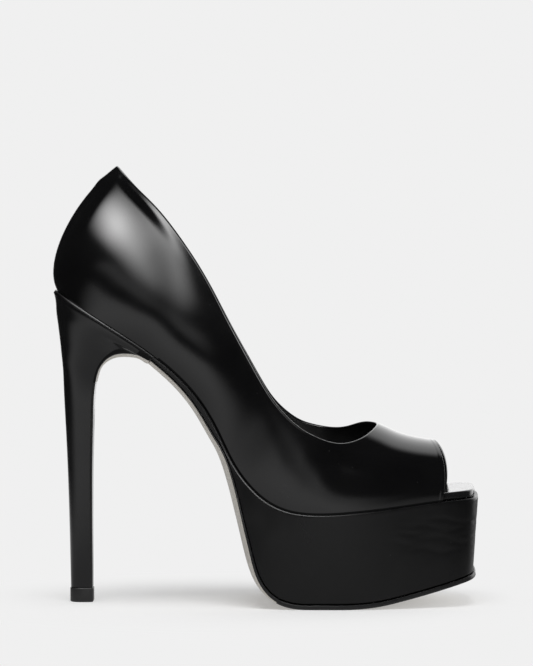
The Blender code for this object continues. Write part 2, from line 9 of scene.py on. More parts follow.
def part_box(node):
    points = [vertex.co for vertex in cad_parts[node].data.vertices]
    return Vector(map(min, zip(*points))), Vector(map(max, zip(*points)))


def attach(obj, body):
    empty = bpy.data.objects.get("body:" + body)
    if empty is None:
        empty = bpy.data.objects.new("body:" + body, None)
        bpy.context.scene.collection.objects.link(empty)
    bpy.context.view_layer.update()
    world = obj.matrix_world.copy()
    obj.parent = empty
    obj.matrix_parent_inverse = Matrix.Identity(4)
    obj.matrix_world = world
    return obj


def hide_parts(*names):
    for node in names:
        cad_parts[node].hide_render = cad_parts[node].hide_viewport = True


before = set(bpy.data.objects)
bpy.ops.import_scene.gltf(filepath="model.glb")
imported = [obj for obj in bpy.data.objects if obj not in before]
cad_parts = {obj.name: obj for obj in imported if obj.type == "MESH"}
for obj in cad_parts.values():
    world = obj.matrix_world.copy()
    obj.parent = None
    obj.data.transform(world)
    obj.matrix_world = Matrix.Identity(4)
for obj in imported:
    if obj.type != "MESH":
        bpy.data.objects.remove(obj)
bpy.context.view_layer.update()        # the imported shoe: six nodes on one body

mm = 0.001

# The last: sizes in millimetres, its tables in shares of those sizes
last = {
    "planLength": 204.3,     # back of the seat to the toe, along the floor
    "ballWidth": 77.0,
    "seatHeight": 152.0,
    "ballHeight": 45.2,
    "backHeight": 60.2,      # seat to collar at the back seam
    "seatBack": -102.3,
    "toeSwing": 2.5,
    "toeLead": 2.2,
    "gap": 0.3,
    "bottomColumns": ("reach", "rise"),
    "bottom": {
        "seatBack": (0.0, 100.0),
        "seat": (11.1, 86.3),
        "breast": (24.2, 69.4),
        "shank": (34.0, 51.0),
        "arch": (38.8, 35.8),
        "steep": (42.5, 21.7),
        "jointBack": (46.2, 12.2),
        "bend": (50.2, 5.6),
        "joint": (54.4, 1.8),
        "ball": (60.8, 0.0),
        "tread": (70.1, 0.7),
        "vamp": (79.0, 2.4),
        "toe": (92.0, 5.4),
        "toeEnd": (100.5, 6.6),
    },
    "outlineColumns": ("along", "outer", "inner"),
    "outline": {
        "heelEnd": (0.0, 0.0, 0.0),
        "heelTurn": (0.9, 14.9, 14.3),
        "heelCurve": (3.4, 25.3, 24.7),
        "seat": (8.0, 31.4, 30.6),
        "seatWide": (12.8, 32.6, 31.6),
        "breast": (23.1, 29.6, 28.3),
        "waist": (35.1, 27.0, 24.7),
        "arch": (42.7, 28.3, 25.5),
        "shankEnd": (49.4, 32.5, 29.2),
        "jointBack": (56.6, 40.6, 37.7),
        "joint": (63.0, 47.2, 45.2),
        "ball": (69.8, 50.4, 49.0),
        "tread": (76.6, 49.6, 49.6),
        "vamp": (83.7, 46.0, 48.2),
        "toeSide": (90.9, 40.5, 44.6),
        "toeCorner": (96.1, 35.0, 39.4),
        "toeTurn": (98.9, 27.5, 32.0),
        "toeFront": (99.9, 16.5, 20.0),
        "toeMiddle": (100.0, 0.0, 0.0),
    },
}


def tableColumn(piece, table, name):
    place = piece[table + "Columns"].index(name)
    return np.array([row[place] for row in piece[table].values()], dtype=float)


def spline(knots, values, at):   # natural cubic through the knots, values in one or more columns
    values = np.asarray(values, dtype=float)
    flat = values.reshape(len(knots), -1)
    step = np.diff(knots)
    slope = np.diff(flat, axis=0) / step[:, None]
    system = np.eye(len(knots))
    bends = np.zeros_like(flat)
    for i in range(1, len(knots) - 1):
        system[i, i - 1:i + 2] = step[i - 1], 2 * (step[i - 1] + step[i]), step[i]
        bends[i] = 6 * (slope[i] - slope[i - 1])
    bends = np.linalg.solve(system, bends)
    at = np.asarray(at, dtype=float)
    spot = at.reshape(-1)
    k = np.clip(np.searchsorted(knots, spot, side="right") - 1, 0, len(knots) - 2)
    before = ((knots[k + 1] - spot) / step[k])[:, None]
    after = ((spot - knots[k]) / step[k])[:, None]
    curve = (before ** 3 - before) * bends[k] + (after ** 3 - after) * bends[k + 1]
    found = before * flat[k] + after * flat[k + 1] + curve * step[k][:, None] ** 2 / 6
    return found.reshape(at.shape + values.shape[1:])


def chordLengths(points):
    steps = np.linalg.norm(np.diff(points, axis=0), axis=-1)
    return np.concatenate([[0.0], np.cumsum(steps)])


def smoothStep(values, start, end):
    share = np.clip((values - start) / (end - start), 0, 1)
    return share * share * (3 - 2 * share)


def unit(vectors):
    return vectors / np.maximum(np.linalg.norm(vectors, axis=-1, keepdims=True), 1e-9)


def reachToX(percent):
    return last["seatBack"] + percent / 100 * last["planLength"]


def collarToZ(percent):
    return last["ballHeight"] + percent / 100 * (last["seatHeight"] + last["backHeight"] - last["ballHeight"])


class Track:   # a line in the shoe's middle plane, read by the distance along the last's bottom
    def __init__(self, along, x, z):
        self.along = along
        self.line = np.stack([x, np.zeros_like(x), z], axis=-1)

    def tangent(self, along):
        along = np.clip(along, self.along[0], self.along[-1])
        reach = 0.05
        return unit(spline(self.along, self.line, along + reach) - spline(self.along, self.line, along - reach))

    def normal(self, along):
        tangent = self.tangent(along)
        return np.stack([-tangent[..., 2], tangent[..., 1], tangent[..., 0]], axis=-1)

    def place(self, along, across, up):
        inside = np.clip(along, self.along[0], self.along[-1])
        spot = spline(self.along, self.line, inside) + (along - inside)[..., None] * self.tangent(inside)
        spot = spot + self.normal(along) * np.broadcast_to(up, along.shape)[..., None]
        spot[..., 1] += across
        return spot


bottomX = reachToX(tableColumn(last, "bottom", "reach"))
bottomRise = tableColumn(last, "bottom", "rise") / 100
bottomZ = last["ballHeight"] + bottomRise * (last["seatHeight"] - last["ballHeight"])
bottomTrack = Track(chordLengths(np.stack([bottomX, bottomZ], axis=-1)), bottomX, bottomZ)
lastLength = bottomTrack.along[-1]


def outlineKnots():   # outer toe at -1, heel end at 0, inner toe at 1
    along = tableColumn(last, "outline", "along") / 100 * lastLength
    outer = tableColumn(last, "outline", "outer") / 100 * last["ballWidth"]
    inner = tableColumn(last, "outline", "inner") / 100 * last["ballWidth"]
    outerRun = chordLengths(np.stack([along, outer], axis=-1))
    innerRun = chordLengths(np.stack([along, inner], axis=-1))
    knots = np.concatenate([-outerRun[:0:-1] / outerRun[-1], innerRun / innerRun[-1]])
    across = np.concatenate([-outer[:0:-1], inner])
    along = np.concatenate([along[:0:-1], along])
    lead = last["toeLead"] * (along / lastLength) ** 8 * across / (last["ballWidth"] / 2)
    return knots, np.stack([along + lead, across], axis=-1)


edgeKnots, edgeLine = outlineKnots()


def edge(place, inset=0.0):   # along, across and outward direction of the sole's outline
    reach = 0.0005
    spot = spline(edgeKnots, edgeLine, place)
    turn = unit(spline(edgeKnots, edgeLine, place + reach) - spline(edgeKnots, edgeLine, place - reach))
    outAlong, outAcross = -turn[..., 1], turn[..., 0]
    return spot[..., 0] - outAlong * inset, spot[..., 1] - outAcross * inset, outAlong, outAcross


def edgePlaceAt(along, side):
    places = np.linspace(0, side, 800)
    return np.interp(along, edge(places)[0], places)


# The table's own zero lies a little off the frame's, so the heel tip's box gives the shift
tipPlace = {"footIn": 7.2, "footHalf": 5.7, "proud": 0.35}
tipBack = last["seatBack"] + tipPlace["footIn"] - tipPlace["proud"]
tipOuter = -(tipPlace["footHalf"] + tipPlace["proud"])
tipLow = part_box("heel_tip")[0]
frameShift = np.array([tipLow[0] - tipBack * mm, tipLow[1] - tipOuter * mm, 0.0])
print("last ready, frame shift in mm", np.round(frameShift / mm, 3))


# Meshes

def newPiece(name, points, faces, materials, node, faceSlots=None):
    mesh = bpy.data.meshes.new(name)
    mesh.from_pydata((np.asarray(points) * mm + frameShift).tolist(), [], faces)
    for material in materials:
        mesh.materials.append(material)
    if faceSlots is not None:
        mesh.polygons.foreach_set("material_index", faceSlots)
    shape = bmesh.new()
    shape.from_mesh(mesh)
    bmesh.ops.remove_doubles(shape, verts=shape.verts, dist=0.0015 * mm)
    bmesh.ops.dissolve_degenerate(shape, edges=shape.edges, dist=0.0005 * mm)
    bmesh.ops.recalc_face_normals(shape, faces=shape.faces)
    shape.to_mesh(mesh)
    shape.free()
    mesh.shade_smooth()
    mesh.set_sharp_from_angle(angle=math.radians(45))
    piece = bpy.data.objects.new(name, mesh)
    bpy.context.scene.collection.objects.link(piece)
    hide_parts(node)
    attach(piece, "root")
    print(name, len(mesh.vertices), "points", len(mesh.polygons), "faces")
    return piece


def gridFaces(index, closed=False):   # quads over a grid of point numbers
    rows, columns = index.shape
    faces = []
    for i in range(rows - 1):
        for j in range(columns if closed else columns - 1):
            k = (j + 1) % columns
            faces.append((index[i, j], index[i, k], index[i + 1, k], index[i + 1, j]))
    return [tuple(int(v) for v in face) for face in faces]


def pointNormals(points, faces):
    quads = np.array(faces)
    cross = np.cross(points[quads[:, 2]] - points[quads[:, 0]], points[quads[:, 3]] - points[quads[:, 1]])
    total = np.zeros_like(points)
    for corner in range(4):
        np.add.at(total, quads[:, corner], cross)
    return unit(total)


def nearest(points, line):   # distance of each point to the nearest stretch of a line
    found = np.full(len(points), 1e9)
    for start, end in zip(line[:-1], line[1:]):
        step = end - start
        share = np.clip((points - start) @ step / max(step @ step, 1e-12), 0, 1)
        found = np.minimum(found, ((points - start - share[:, None] * step) ** 2).sum(axis=1))
    return np.sqrt(found)


# Shader helpers

def addNode(tree, kind, inputs=(), **settings):
    node = tree.nodes.new(kind)
    for name, value in settings.items():
        setattr(node, name, value)
    for name, value in dict(inputs).items():
        socket = node.inputs[name]
        if isinstance(value, bpy.types.NodeSocket):
            tree.links.new(value, socket)
        else:
            socket.default_value = value
    return node


def newGroup(name, inputs, outputs):
    group = bpy.data.node_groups.new(name, "ShaderNodeTree")
    for label, kind in inputs:
        group.interface.new_socket(label, in_out="INPUT", socket_type=kind)
    for label, kind in outputs:
        group.interface.new_socket(label, in_out="OUTPUT", socket_type=kind)
    return group, group.nodes.new("NodeGroupInput"), group.nodes.new("NodeGroupOutput")


def fillGroup(tree, group, inputs):
    node = tree.nodes.new("ShaderNodeGroup")
    node.node_tree = group
    for name, value in inputs.items():
        if isinstance(value, bpy.types.NodeSocket):
            tree.links.new(value, node.inputs[name])
        else:
            node.inputs[name].default_value = value
    return node


def maths(tree, operation, first, second=0.0):
    node = addNode(tree, "ShaderNodeMath", operation=operation)
    for socket, value in zip(node.inputs, (first, second)):
        if isinstance(value, bpy.types.NodeSocket):
            tree.links.new(value, socket)
        else:
            socket.default_value = value
    return node.outputs[0]


def leatherGrainGroup():   # pores and fine creases of a polished hide
    group, start, end = newGroup(
        "leatherGrain",
        [("Vector", "NodeSocketVector"), ("Scale", "NodeSocketFloat"), ("Pores", "NodeSocketFloat")],
        [("Height", "NodeSocketFloat")],
    )
    cells = addNode(group, "ShaderNodeTexVoronoi", {
        "Vector": start.outputs["Vector"], "Scale": start.outputs["Scale"], "Randomness": 1.0,
    }, feature="DISTANCE_TO_EDGE")
    crease = addNode(group, "ShaderNodeMapRange", {"Value": cells.outputs["Distance"], "From Max": 0.12})
    fine = addNode(group, "ShaderNodeTexNoise", {
        "Vector": start.outputs["Vector"], "Scale": maths(group, "MULTIPLY", start.outputs["Scale"], 1.7),
        "Detail": 3.0, "Roughness": 0.6,
    })
    pores = maths(group, "MULTIPLY", crease.outputs["Result"], start.outputs["Pores"])
    group.links.new(maths(group, "ADD", pores, fine.outputs["Fac"]), end.inputs["Height"])
    return group


def polishGroup():   # soft smears in the shine where a cloth has been
    group, start, end = newGroup(
        "polishSmears",
        [("Vector", "NodeSocketVector"), ("Scale", "NodeSocketFloat"),
         ("Shiny", "NodeSocketFloat"), ("Dull", "NodeSocketFloat")],
        [("Roughness", "NodeSocketFloat"), ("Smear", "NodeSocketFloat")],
    )
    broad = addNode(group, "ShaderNodeTexNoise", {
        "Vector": start.outputs["Vector"], "Scale": start.outputs["Scale"], "Detail": 4.0, "Roughness": 0.55,
    })
    smear = addNode(group, "ShaderNodeMapRange", {
        "Value": broad.outputs["Fac"], "From Min": 0.3, "From Max": 0.7,
    })
    rough = addNode(group, "ShaderNodeMapRange", {
        "Value": smear.outputs["Result"],
        "To Min": start.outputs["Shiny"], "To Max": start.outputs["Dull"],
    })
    group.links.new(rough.outputs["Result"], end.inputs["Roughness"])
    group.links.new(smear.outputs["Result"], end.inputs["Smear"])
    return group


def dustGroup():   # sparse specks of lint
    group, start, end = newGroup(
        "dustSpecks",
        [("Vector", "NodeSocketVector"), ("Scale", "NodeSocketFloat"), ("Amount", "NodeSocketFloat")],
        [("Mask", "NodeSocketFloat")],
    )
    dots = addNode(group, "ShaderNodeTexVoronoi", {
        "Vector": start.outputs["Vector"], "Scale": start.outputs["Scale"],
    })
    speck = addNode(group, "ShaderNodeMapRange", {
        "Value": dots.outputs["Distance"], "From Min": 0.09, "From Max": 0.04,
    })
    chosen = maths(group, "GREATER_THAN", dots.outputs["Color"], 0.72)
    mask = maths(group, "MULTIPLY", speck.outputs["Result"], chosen)
    mask = maths(group, "MULTIPLY", mask, start.outputs["Amount"])
    group.links.new(mask, end.inputs["Mask"])
    return group


leatherGrain, polishSmears, dustSpecks = leatherGrainGroup(), polishGroup(), dustGroup()
lintLook = {"scale": 260.0, "colour": (0.22, 0.22, 0.22)}


def leatherMaterial(name, finish):
    material = bpy.data.materials.new(name)
    material.use_nodes = True
    tree = material.node_tree
    shader = tree.nodes["Principled BSDF"]
    where = tree.nodes.new("ShaderNodeTexCoord").outputs["Object"]
    polish = fillGroup(tree, polishSmears, {
        "Vector": where, "Scale": finish["smearScale"], "Shiny": finish["shiny"], "Dull": finish["dull"],
    })
    grain = fillGroup(tree, leatherGrain, {
        "Vector": where, "Scale": finish["grainScale"], "Pores": finish["pores"],
    })
    dust = fillGroup(tree, dustSpecks, {"Vector": where, "Scale": lintLook["scale"], "Amount": finish["dust"]})
    tone = addNode(tree, "ShaderNodeMix", data_type="RGBA")
    tone.inputs["A"].default_value = (*finish["colour"], 1)
    tone.inputs["B"].default_value = (*finish["worn"], 1)
    tree.links.new(polish.outputs["Smear"], tone.inputs["Factor"])
    lint = addNode(tree, "ShaderNodeMix", data_type="RGBA")
    tree.links.new(tone.outputs["Result"], lint.inputs["A"])
    lint.inputs["B"].default_value = (*lintLook["colour"], 1)
    tree.links.new(dust.outputs["Mask"], lint.inputs["Factor"])
    bump = addNode(tree, "ShaderNodeBump", {
        "Height": grain.outputs["Height"], "Strength": finish["grain"], "Distance": finish["grainDepth"] * mm,
    })
    tree.links.new(lint.outputs["Result"], shader.inputs["Base Color"])
    tree.links.new(polish.outputs["Roughness"], shader.inputs["Roughness"])
    tree.links.new(bump.outputs["Normal"], shader.inputs["Normal"])
    shader.inputs["IOR"].default_value = finish["ior"]
    return material


# Upper

shadeAndEdgeInk = {   # near-black finish: painted shade along the joints' edges, and the black edge down the heel's breast
    "colour": (0.003, 0.003, 0.0032), "worn": (0.005, 0.005, 0.0053), "ior": 1.2,
    "shiny": 0.3, "dull": 0.4, "smearScale": 90.0, "dust": 0.2,
    "grainScale": 1900.0, "pores": 0.3, "grain": 0.25, "grainDepth": 0.02,
}
shadeAndEdgeInkMaterial = leatherMaterial("paintedShadeAndEdgeInk", shadeAndEdgeInk)
upper = {
    "wall": 1.7,
    "inset": 1.0,            # foot of the upper in from the platform's edge
    "gap": 0.05,             # and just over it
    "quarterRibs": 170,
    "vampRibs": 60,
    "rows": 40,
    "footRows": (0.0, 0.5, 1.0, 1.6, 2.3, 3.1, 4.0),
    "foldRows": (3.4, 2.9, 2.5, 2.2, 1.9, 1.6, 1.3, 1.0, 0.7, 0.4, 0.2, 0.0),   # back from a folded edge
    "rimSteps": 8,
    "footBulge": 0.15,       # the wall's foot is pressed nearly flat
    "shadeAndEdgeInkRows": 2,            # rows of its foot painted black ahead of the heel: painted shade where its edge tucks in
    "paintedShadeFrom": 26.0,
    "foldWidth": 2.0,
    "foldRise": 0.16,        # turned edge of the peep toe
    "hem": (1.5, 6.0),       # the topline is drawn in between these distances from it
    "hemDepth": {            # reach in shares of the length, and depth
        "tip": (15.0, 0.0),
        "tab": (17.0, 0.7),
        "counter": (19.0, 0.9),
        "heel": (21.5, 0.9),
        "quarter": (25.0, 0.45),
        "quarterEnd": (29.0, 0.1),
        "side": (33.0, 0.0),
    },
    "backBump": {"height": 204.6, "tall": 2.4, "wide": 12.0, "rise": 0.5},   # end of the heel's stiffener
    "seamWidth": 0.4,
    "seamDepth": 0.22,
    "highPush": 0.25,
    "ribColumns": ("edge", "reach", "half", "height", "flare", "lean", "low", "high", "push"),
    "rib": {
        "back": (0.0, 16.2, 0.0, 101.3, 65, 23, 21.5, 42, 0.0),
        "tab": (3.1, 17.0, 8.2, 100.2, 60, 22, 21.5, 40, 0.0),
        "counter": (6.9, 20.0, 18.5, 96.8, 36, 30, 33, 43, 0.0),
        "heel": (12.4, 26.1, 26.0, 89.1, 18, 15, 41, 41, 0.0),
        "quarter": (19.8, 32.0, 29.0, 79.8, 16, -2, 44, 39, 0.0),
        "side": (25.0, 37.6, 31.5, 68.7, 15, -10, 41, 34, 0.0),
        "waist": (30.5, 42.7, 34.0, 58.6, 19, -4, 35, 26, 0.0),
        "shank": (36.0, 46.6, 36.0, 50.2, 27, 23, 31, 23, 0.0),
        "arch": (41.5, 50.1, 36.0, 43.9, 34, 62, 30, 26, 0.0),
        "instep": (46.4, 53.0, 33.5, 40.0, 35, 92, 31, 35, 0.0),
        "jointBack": (51.5, 56.2, 28.5, 37.0, 29, 110, 34, 44, 0.0),
        "joint": (56.2, 59.4, 22.0, 34.6, 17, 118, 36, 52, 0.0),
        "ballBack": (60.6, 62.8, 15.0, 32.5, 6, 114, 40, 56, 0.0),
        "ball": (64.4, 66.2, 8.5, 30.4, 3, 103, 43, 56, 0.0),
        "throatBack": (68.5, 70.1, 2.5, 28.2, 3, 91, 46, 49, 0.0),
        "throat": (74.0, 76.9, 0.0, 24.8, 4, 90, 48, 46, 0.0),
        "vamp": (78.0, 81.0, 0.0, 22.5, 6, 90, 48, 45, 0.0),
        "vampFront": (82.3, 85.1, 0.0, 21.0, 8, 90, 48, 44, 1.8),
        "peep": (86.9, 90.25, 0.0, 19.9, 6, 90, 48, 40, 4.8),
    },
    "collarColumns": ("reach", "height", "innerRise"),
    "collar": {
        "back": (14.8, 100.0, 0.0),
        "counter": (18.5, 95.4, -0.8),
        "heel": (24.6, 87.7, -1.5),
        "quarter": (30.7, 77.8, -2.0),
        "side": (36.6, 66.2, -2.2),
        "waist": (41.5, 54.7, -2.4),
        "shank": (46.2, 44.2, -2.5),
        "arch": (50.8, 34.3, -2.2),
        "instep": (54.7, 28.4, -1.0),
        "jointBack": (58.4, 24.6, 0.3),
        "joint": (61.8, 22.4, 1.8),
        "ball": (66.3, 20.6, 3.6),
        "throatSide": (70.5, 20.7, 4.6),
        "throatBend": (74.2, 22.5, 4.0),
        "throat": (76.9, 24.8, 0.0),
    },
    "finish": {
        "colour": (0.004, 0.004, 0.0043), "worn": (0.006, 0.006, 0.0063), "ior": 1.5,
        "shiny": 0.1, "dull": 0.15, "smearScale": 38.0, "dust": 0.08,
        "grainScale": 1900.0, "pores": 0.5, "grain": 0.22, "grainDepth": 0.02,
    },
    "lining": {
        "colour": (0.012, 0.012, 0.0125), "worn": (0.018, 0.018, 0.018), "ior": 1.45,
        "shiny": 0.36, "dull": 0.5, "smearScale": 60.0, "dust": 0.4,
        "grainScale": 1500.0, "pores": 0.7, "grain": 0.4, "grainDepth": 0.04,
    },
}
throatStation = float(list(upper["rib"]).index("throat"))
peepStation = float(len(upper["rib"]) - 1)


def ribColumn(name, station):   # stations count from the back seam, outer side negative
    values = tableColumn(upper, "rib", name)
    knots = np.arange(1 - len(values), len(values), dtype=float)
    mirrored = -values[:0:-1] if name in ("edge", "half") else values[:0:-1]
    return spline(knots, np.concatenate([mirrored, values]), station)


def ribControls(station):   # four Bezier points of each rib, feather edge to ridge
    row = {name: ribColumn(name, station) for name in upper["ribColumns"]}
    side = np.where(station < 0, -1.0, 1.0)
    along, across, outAlong, outAcross = edge(row["edge"] / 100, upper["inset"])
    foot = bottomTrack.place(along, across, upper["gap"])
    normal = bottomTrack.normal(along)
    out = outAlong[:, None] * bottomTrack.tangent(along)
    out[:, 1] += outAcross
    behindSeat = along < last["outline"]["seatWide"][0] / 100 * lastLength
    sideways = np.stack([np.zeros_like(side), side, np.zeros_like(side)], axis=-1)
    topOut = np.where(behindSeat[:, None], out, sideways)
    half = np.where(np.abs(station) >= throatStation, 0.0, row["half"] / 100 * last["ballWidth"])
    swing = last["toeSwing"] * np.clip(row["reach"] / 100, 0, 1) ** 2
    top = np.stack([reachToX(row["reach"]), half + swing, collarToZ(row["height"])], axis=-1)
    span = np.linalg.norm(top - foot, axis=1)[:, None]
    flare = np.radians(row["flare"])[:, None]
    lean = np.radians(row["lean"])[:, None]
    low = foot + row["low"][:, None] / 100 * span * (np.cos(flare) * normal + np.sin(flare) * out)
    high = top - row["high"][:, None] / 100 * span * (np.cos(lean) * normal - np.sin(lean) * topOut)
    low[:, 0] += row["push"]
    high[:, 0] += row["push"] * upper["highPush"]
    return np.stack([foot, low, high, top], axis=1)


def bezier(controls, share):
    t = share[..., None]
    a, b, c, d = (controls[:, None, i] for i in range(4))
    return a * (1 - t) ** 3 + 3 * b * t * (1 - t) ** 2 + 3 * c * t ** 2 * (1 - t) + d * t ** 3


def collarHeight(x, side):
    knots = reachToX(tableColumn(upper, "collar", "reach"))
    z = spline(knots, collarToZ(tableColumn(upper, "collar", "height")), x)
    rise = spline(knots, tableColumn(upper, "collar", "innerRise"), x)
    return z + np.where(side > 0, rise, 0.0)


def collarShare(station, controls):   # how far up its rib the collar cuts each one
    fine = 400
    share = np.broadcast_to(np.linspace(0, 1, fine), (len(station), fine))
    spots = bezier(controls, share)
    over = spots[..., 2] - collarHeight(spots[..., 0], station[:, None])
    cut = np.ones(len(station))
    for i in range(len(station)):
        above = np.nonzero(over[i] > 0)[0]
        if abs(station[i]) < throatStation and len(above):
            k = max(above[0], 1)
            cut[i] = share[i, k - 1] + over[i, k - 1] / (over[i, k - 1] - over[i, k]) / (fine - 1)
    return cut


def ribRun(start, end):   # distance travelled by whichever end of the rib travels further, on either side
    station = np.linspace(start, end, 4000)
    travel = np.zeros(len(station) - 1)
    for side in (-1.0, 1.0):
        controls = ribControls(side * station)
        tops = bezier(controls, collarShare(side * station, controls)[:, None])[:, 0]
        for ends in (controls[:, 0], tops):
            travel = np.maximum(travel, np.linalg.norm(np.diff(ends, axis=0), axis=1))
    return np.concatenate([[0.0], np.cumsum(travel)]), station


def upperStations():
    run, station = ribRun(0.0, throatStation)
    quarter = np.interp(np.linspace(0, run[-1], upper["quarterRibs"] + 1), run, station)
    run, station = ribRun(throatStation, peepStation)
    reach = run[-1] - upper["wall"] / 2
    fold = reach - np.array(upper["foldRows"])
    body = np.linspace(0, fold[0], upper["vampRibs"] + 1)
    vamp = np.interp(np.concatenate([body[1:], fold[1:]]), run, station)
    side = np.concatenate([quarter, vamp])
    return np.concatenate([-side[:0:-1], side])


def upperRows(station, controls):   # shares up each rib, close together at its foot and at the collar
    cut = collarShare(station, controls)
    fine = np.linspace(0, 1, 260)[None, :] * cut[:, None]
    spots = bezier(controls, fine)
    steps = np.linalg.norm(np.diff(spots, axis=1), axis=-1)
    run = np.concatenate([np.zeros((len(station), 1)), np.cumsum(steps, axis=1)], axis=1)
    rim = upper["wall"] / 2 * (1 - smoothStep(np.abs(station), throatStation - 1.2, throatStation))
    foot, fold = np.array(upper["footRows"]), np.array(upper["foldRows"])
    shares = []
    for i in range(len(station)):
        top = run[i, -1] - rim[i]
        middle = np.linspace(foot[-1], top - fold[0], upper["rows"] + 1)[1:-1]
        shares.append(np.interp(np.concatenate([foot, middle, top - fold]), run[i], fine[i]))
    return np.array(shares)


def closeWall(points, normals, loops, wall):   # inner skin and a rounded rim round each open edge
    count = len(points)
    inner = points - normals * wall
    rims, faces = [], []
    steps = upper["rimSteps"]
    for loop, behind, bulge in loops:
        outerRing, innerRing = points[loop], inner[loop]
        ahead = np.roll(outerRing, -1, axis=0) - np.roll(outerRing, 1, axis=0)
        over = unit(np.cross(unit(ahead), normals[loop]))
        over *= np.sign((over * (outerRing - points[behind])).sum())
        turns = np.pi * np.arange(1, steps) / steps
        first = count * 2 + sum(len(r) for r in rims)
        middle, arm = (outerRing + innerRing) / 2, (outerRing - innerRing) / 2
        rings = [middle + arm * math.cos(t) + over * bulge * math.sin(t) for t in turns]
        rims += rings
        numbers = np.arange(len(loop) * (steps - 1)).reshape(steps - 1, -1) + first
        faces += gridFaces(np.concatenate([[loop], numbers, [np.array(loop) + count]]), closed=True)
    return np.concatenate([points, inner, *rims]), faces


def buildUpper():
    station = upperStations()
    controls = ribControls(station)
    points = bezier(controls, upperRows(station, controls))
    ribs, rows = points.shape[:2]
    index = np.arange(ribs * rows).reshape(ribs, rows)
    for i in range(ribs):   # the two sides of the vamp share their ridge
        if station[i] >= throatStation - 1e-6:
            index[i, -1] = index[ribs - 1 - i, -1]
    points = points.reshape(-1, 3)
    skin = gridFaces(index)
    normals = pointNormals(points, skin)
    if normals[points[:, 1].argmin(), 1] > 0:
        normals = -normals
    collarRibs = np.nonzero(np.abs(station) <= throatStation + 1e-6)[0]
    collarLoop = index[collarRibs, -1][:-1]
    footLoop = np.concatenate([index[:, 0], index[-1, 1:], index[0, -2:0:-1]])
    collarGap = nearest(points, points[np.append(collarLoop, collarLoop[0])])
    peepGap = nearest(points, points[np.concatenate([index[0], index[-1, ::-1]])])
    seamGap = nearest(points, points[index[ribs // 2]])
    lift = upper["foldRise"] * (1 - smoothStep(peepGap, upper["foldWidth"] - 0.6, upper["foldWidth"]))
    lift -= upper["seamDepth"] * np.exp(-(seamGap / upper["seamWidth"]) ** 2)
    hem = np.array(list(upper["hemDepth"].values()))
    drawn = spline(reachToX(hem[:, 0]), hem[:, 1], np.clip(points[:, 0], *reachToX(hem[[0, -1], 0])))
    lift -= np.clip(drawn, 0, None) * (1 - smoothStep(collarGap, *upper["hem"]))
    bump = upper["backBump"]
    up, side = (points[:, 2] - bump["height"]) / bump["tall"], points[:, 1] / bump["wide"]
    behind = points[:, 0] < reachToX(30.0)
    lift += np.where(behind, bump["rise"] * np.exp(-up ** 2 - side ** 2), 0.0)
    points = points + normals * lift[:, None]
    normals = pointNormals(points, skin)
    if normals[points[:, 1].argmin(), 1] > 0:
        normals = -normals
    loops = [
        (collarLoop, index[collarRibs, -2][:-1], upper["wall"] / 2),
        (footLoop, np.concatenate([index[:, 1], index[-2, 1:], index[1, -2:0:-1]]), upper["footBulge"]),
    ]
    whole, rimFaces = closeWall(points, normals, loops, upper["wall"])
    inside = [tuple(v + len(points) for v in reversed(face)) for face in skin]
    faces = skin + inside + rimFaces
    used = np.unique(np.array(faces))   # the ridge's spare points drop out
    renumber = np.zeros(len(whole), dtype=int)
    renumber[used] = np.arange(len(used))
    faces = [tuple(int(renumber[v]) for v in face) for face in faces]
    outer = np.zeros((ribs - 1, rows - 1), dtype=int)
    # painted shade: the foot's lowest rows ahead of the heel take the black ink finish
    outer[np.abs(ribColumn("edge", station))[:-1] > upper["paintedShadeFrom"], :upper["shadeAndEdgeInkRows"]] = 2
    slots = list(outer.ravel()) + [1] * len(inside) + [0] * len(rimFaces)
    materials = [leatherMaterial("boxLeather", upper["finish"]), leatherMaterial("liningLeather", upper["lining"])]
    materials.append(shadeAndEdgeInkMaterial)
    return newPiece("hollow_upper", whole[used], faces, materials, "upper", slots)


buildUpper()


# Soles

tread = {
    "seatLength": 58.0,      # heel seat, along the last's bottom
    "joint": 0.02,           # the arch's wrap closes up to the heel
    "edgeSteps": 230,        # steps of each side round the soles
    "capColumns": 24,
    "treadColumns": ("along", "reach", "up", "thick", "crown"),
    "tread": {
        "breast": (23.3, 23.4, 118.1, 1.1, 1.75),
        "shank": (29.9, 29.0, 107.75, 1.1, 1.75),
        "waist": (35.9, 33.7, 96.2, 1.2, 1.7),
        "arch": (42.7, 37.9, 82.3, 1.4, 1.8),
        "rearTop": (49.4, 41.6, 67.6, 1.5, 2.3),
        "rearHigh": (51.9, 43.1, 57.7, 1.6, 2.3),
        "rear": (54.4, 44.45, 47.0, 1.7, 2.25),
        "rearLow": (56.8, 45.7, 36.6, 1.8, 2.2),
        "rearFoot": (58.8, 47.0, 26.2, 1.9, 2.25),
        "heelOfTread": (60.6, 48.4, 16.6, 2.0, 1.95),
        "turn": (62.4, 50.5, 9.4, 2.1, 1.6),
        "turnLow": (64.4, 53.5, 4.7, 2.2, 0.6),
        "flatBack": (66.6, 57.3, 2.7, 2.2, 0.0),
        "flat": (69.6, 61.8, 2.5, 2.2, 0.0),
        "flatFront": (74.5, 69.0, 2.5, 2.2, 0.0),
        "roll": (79.0, 75.2, 3.4, 2.2, 0.0),
        "spring": (84.0, 81.0, 5.7, 2.2, 0.0),
        "vamp": (88.6, 86.6, 8.5, 2.2, 0.0),
        "toe": (94.0, 93.1, 12.1, 2.2, 0.0),
        "toeEnd": (100.0, 99.85, 16.0, 2.2, 0.0),
    },
}
treadTrack = Track(
    tableColumn(tread, "tread", "along") / 100 * lastLength,
    reachToX(tableColumn(tread, "tread", "reach")),
    tableColumn(tread, "tread", "up"),
)


def soleRing(track, places, inset, up):
    along, across, outAlong, outAcross = edge(places)
    spots = track.place(along, across - outAcross * inset, up)
    return spots - track.tangent(along) * (outAlong * inset)[:, None]


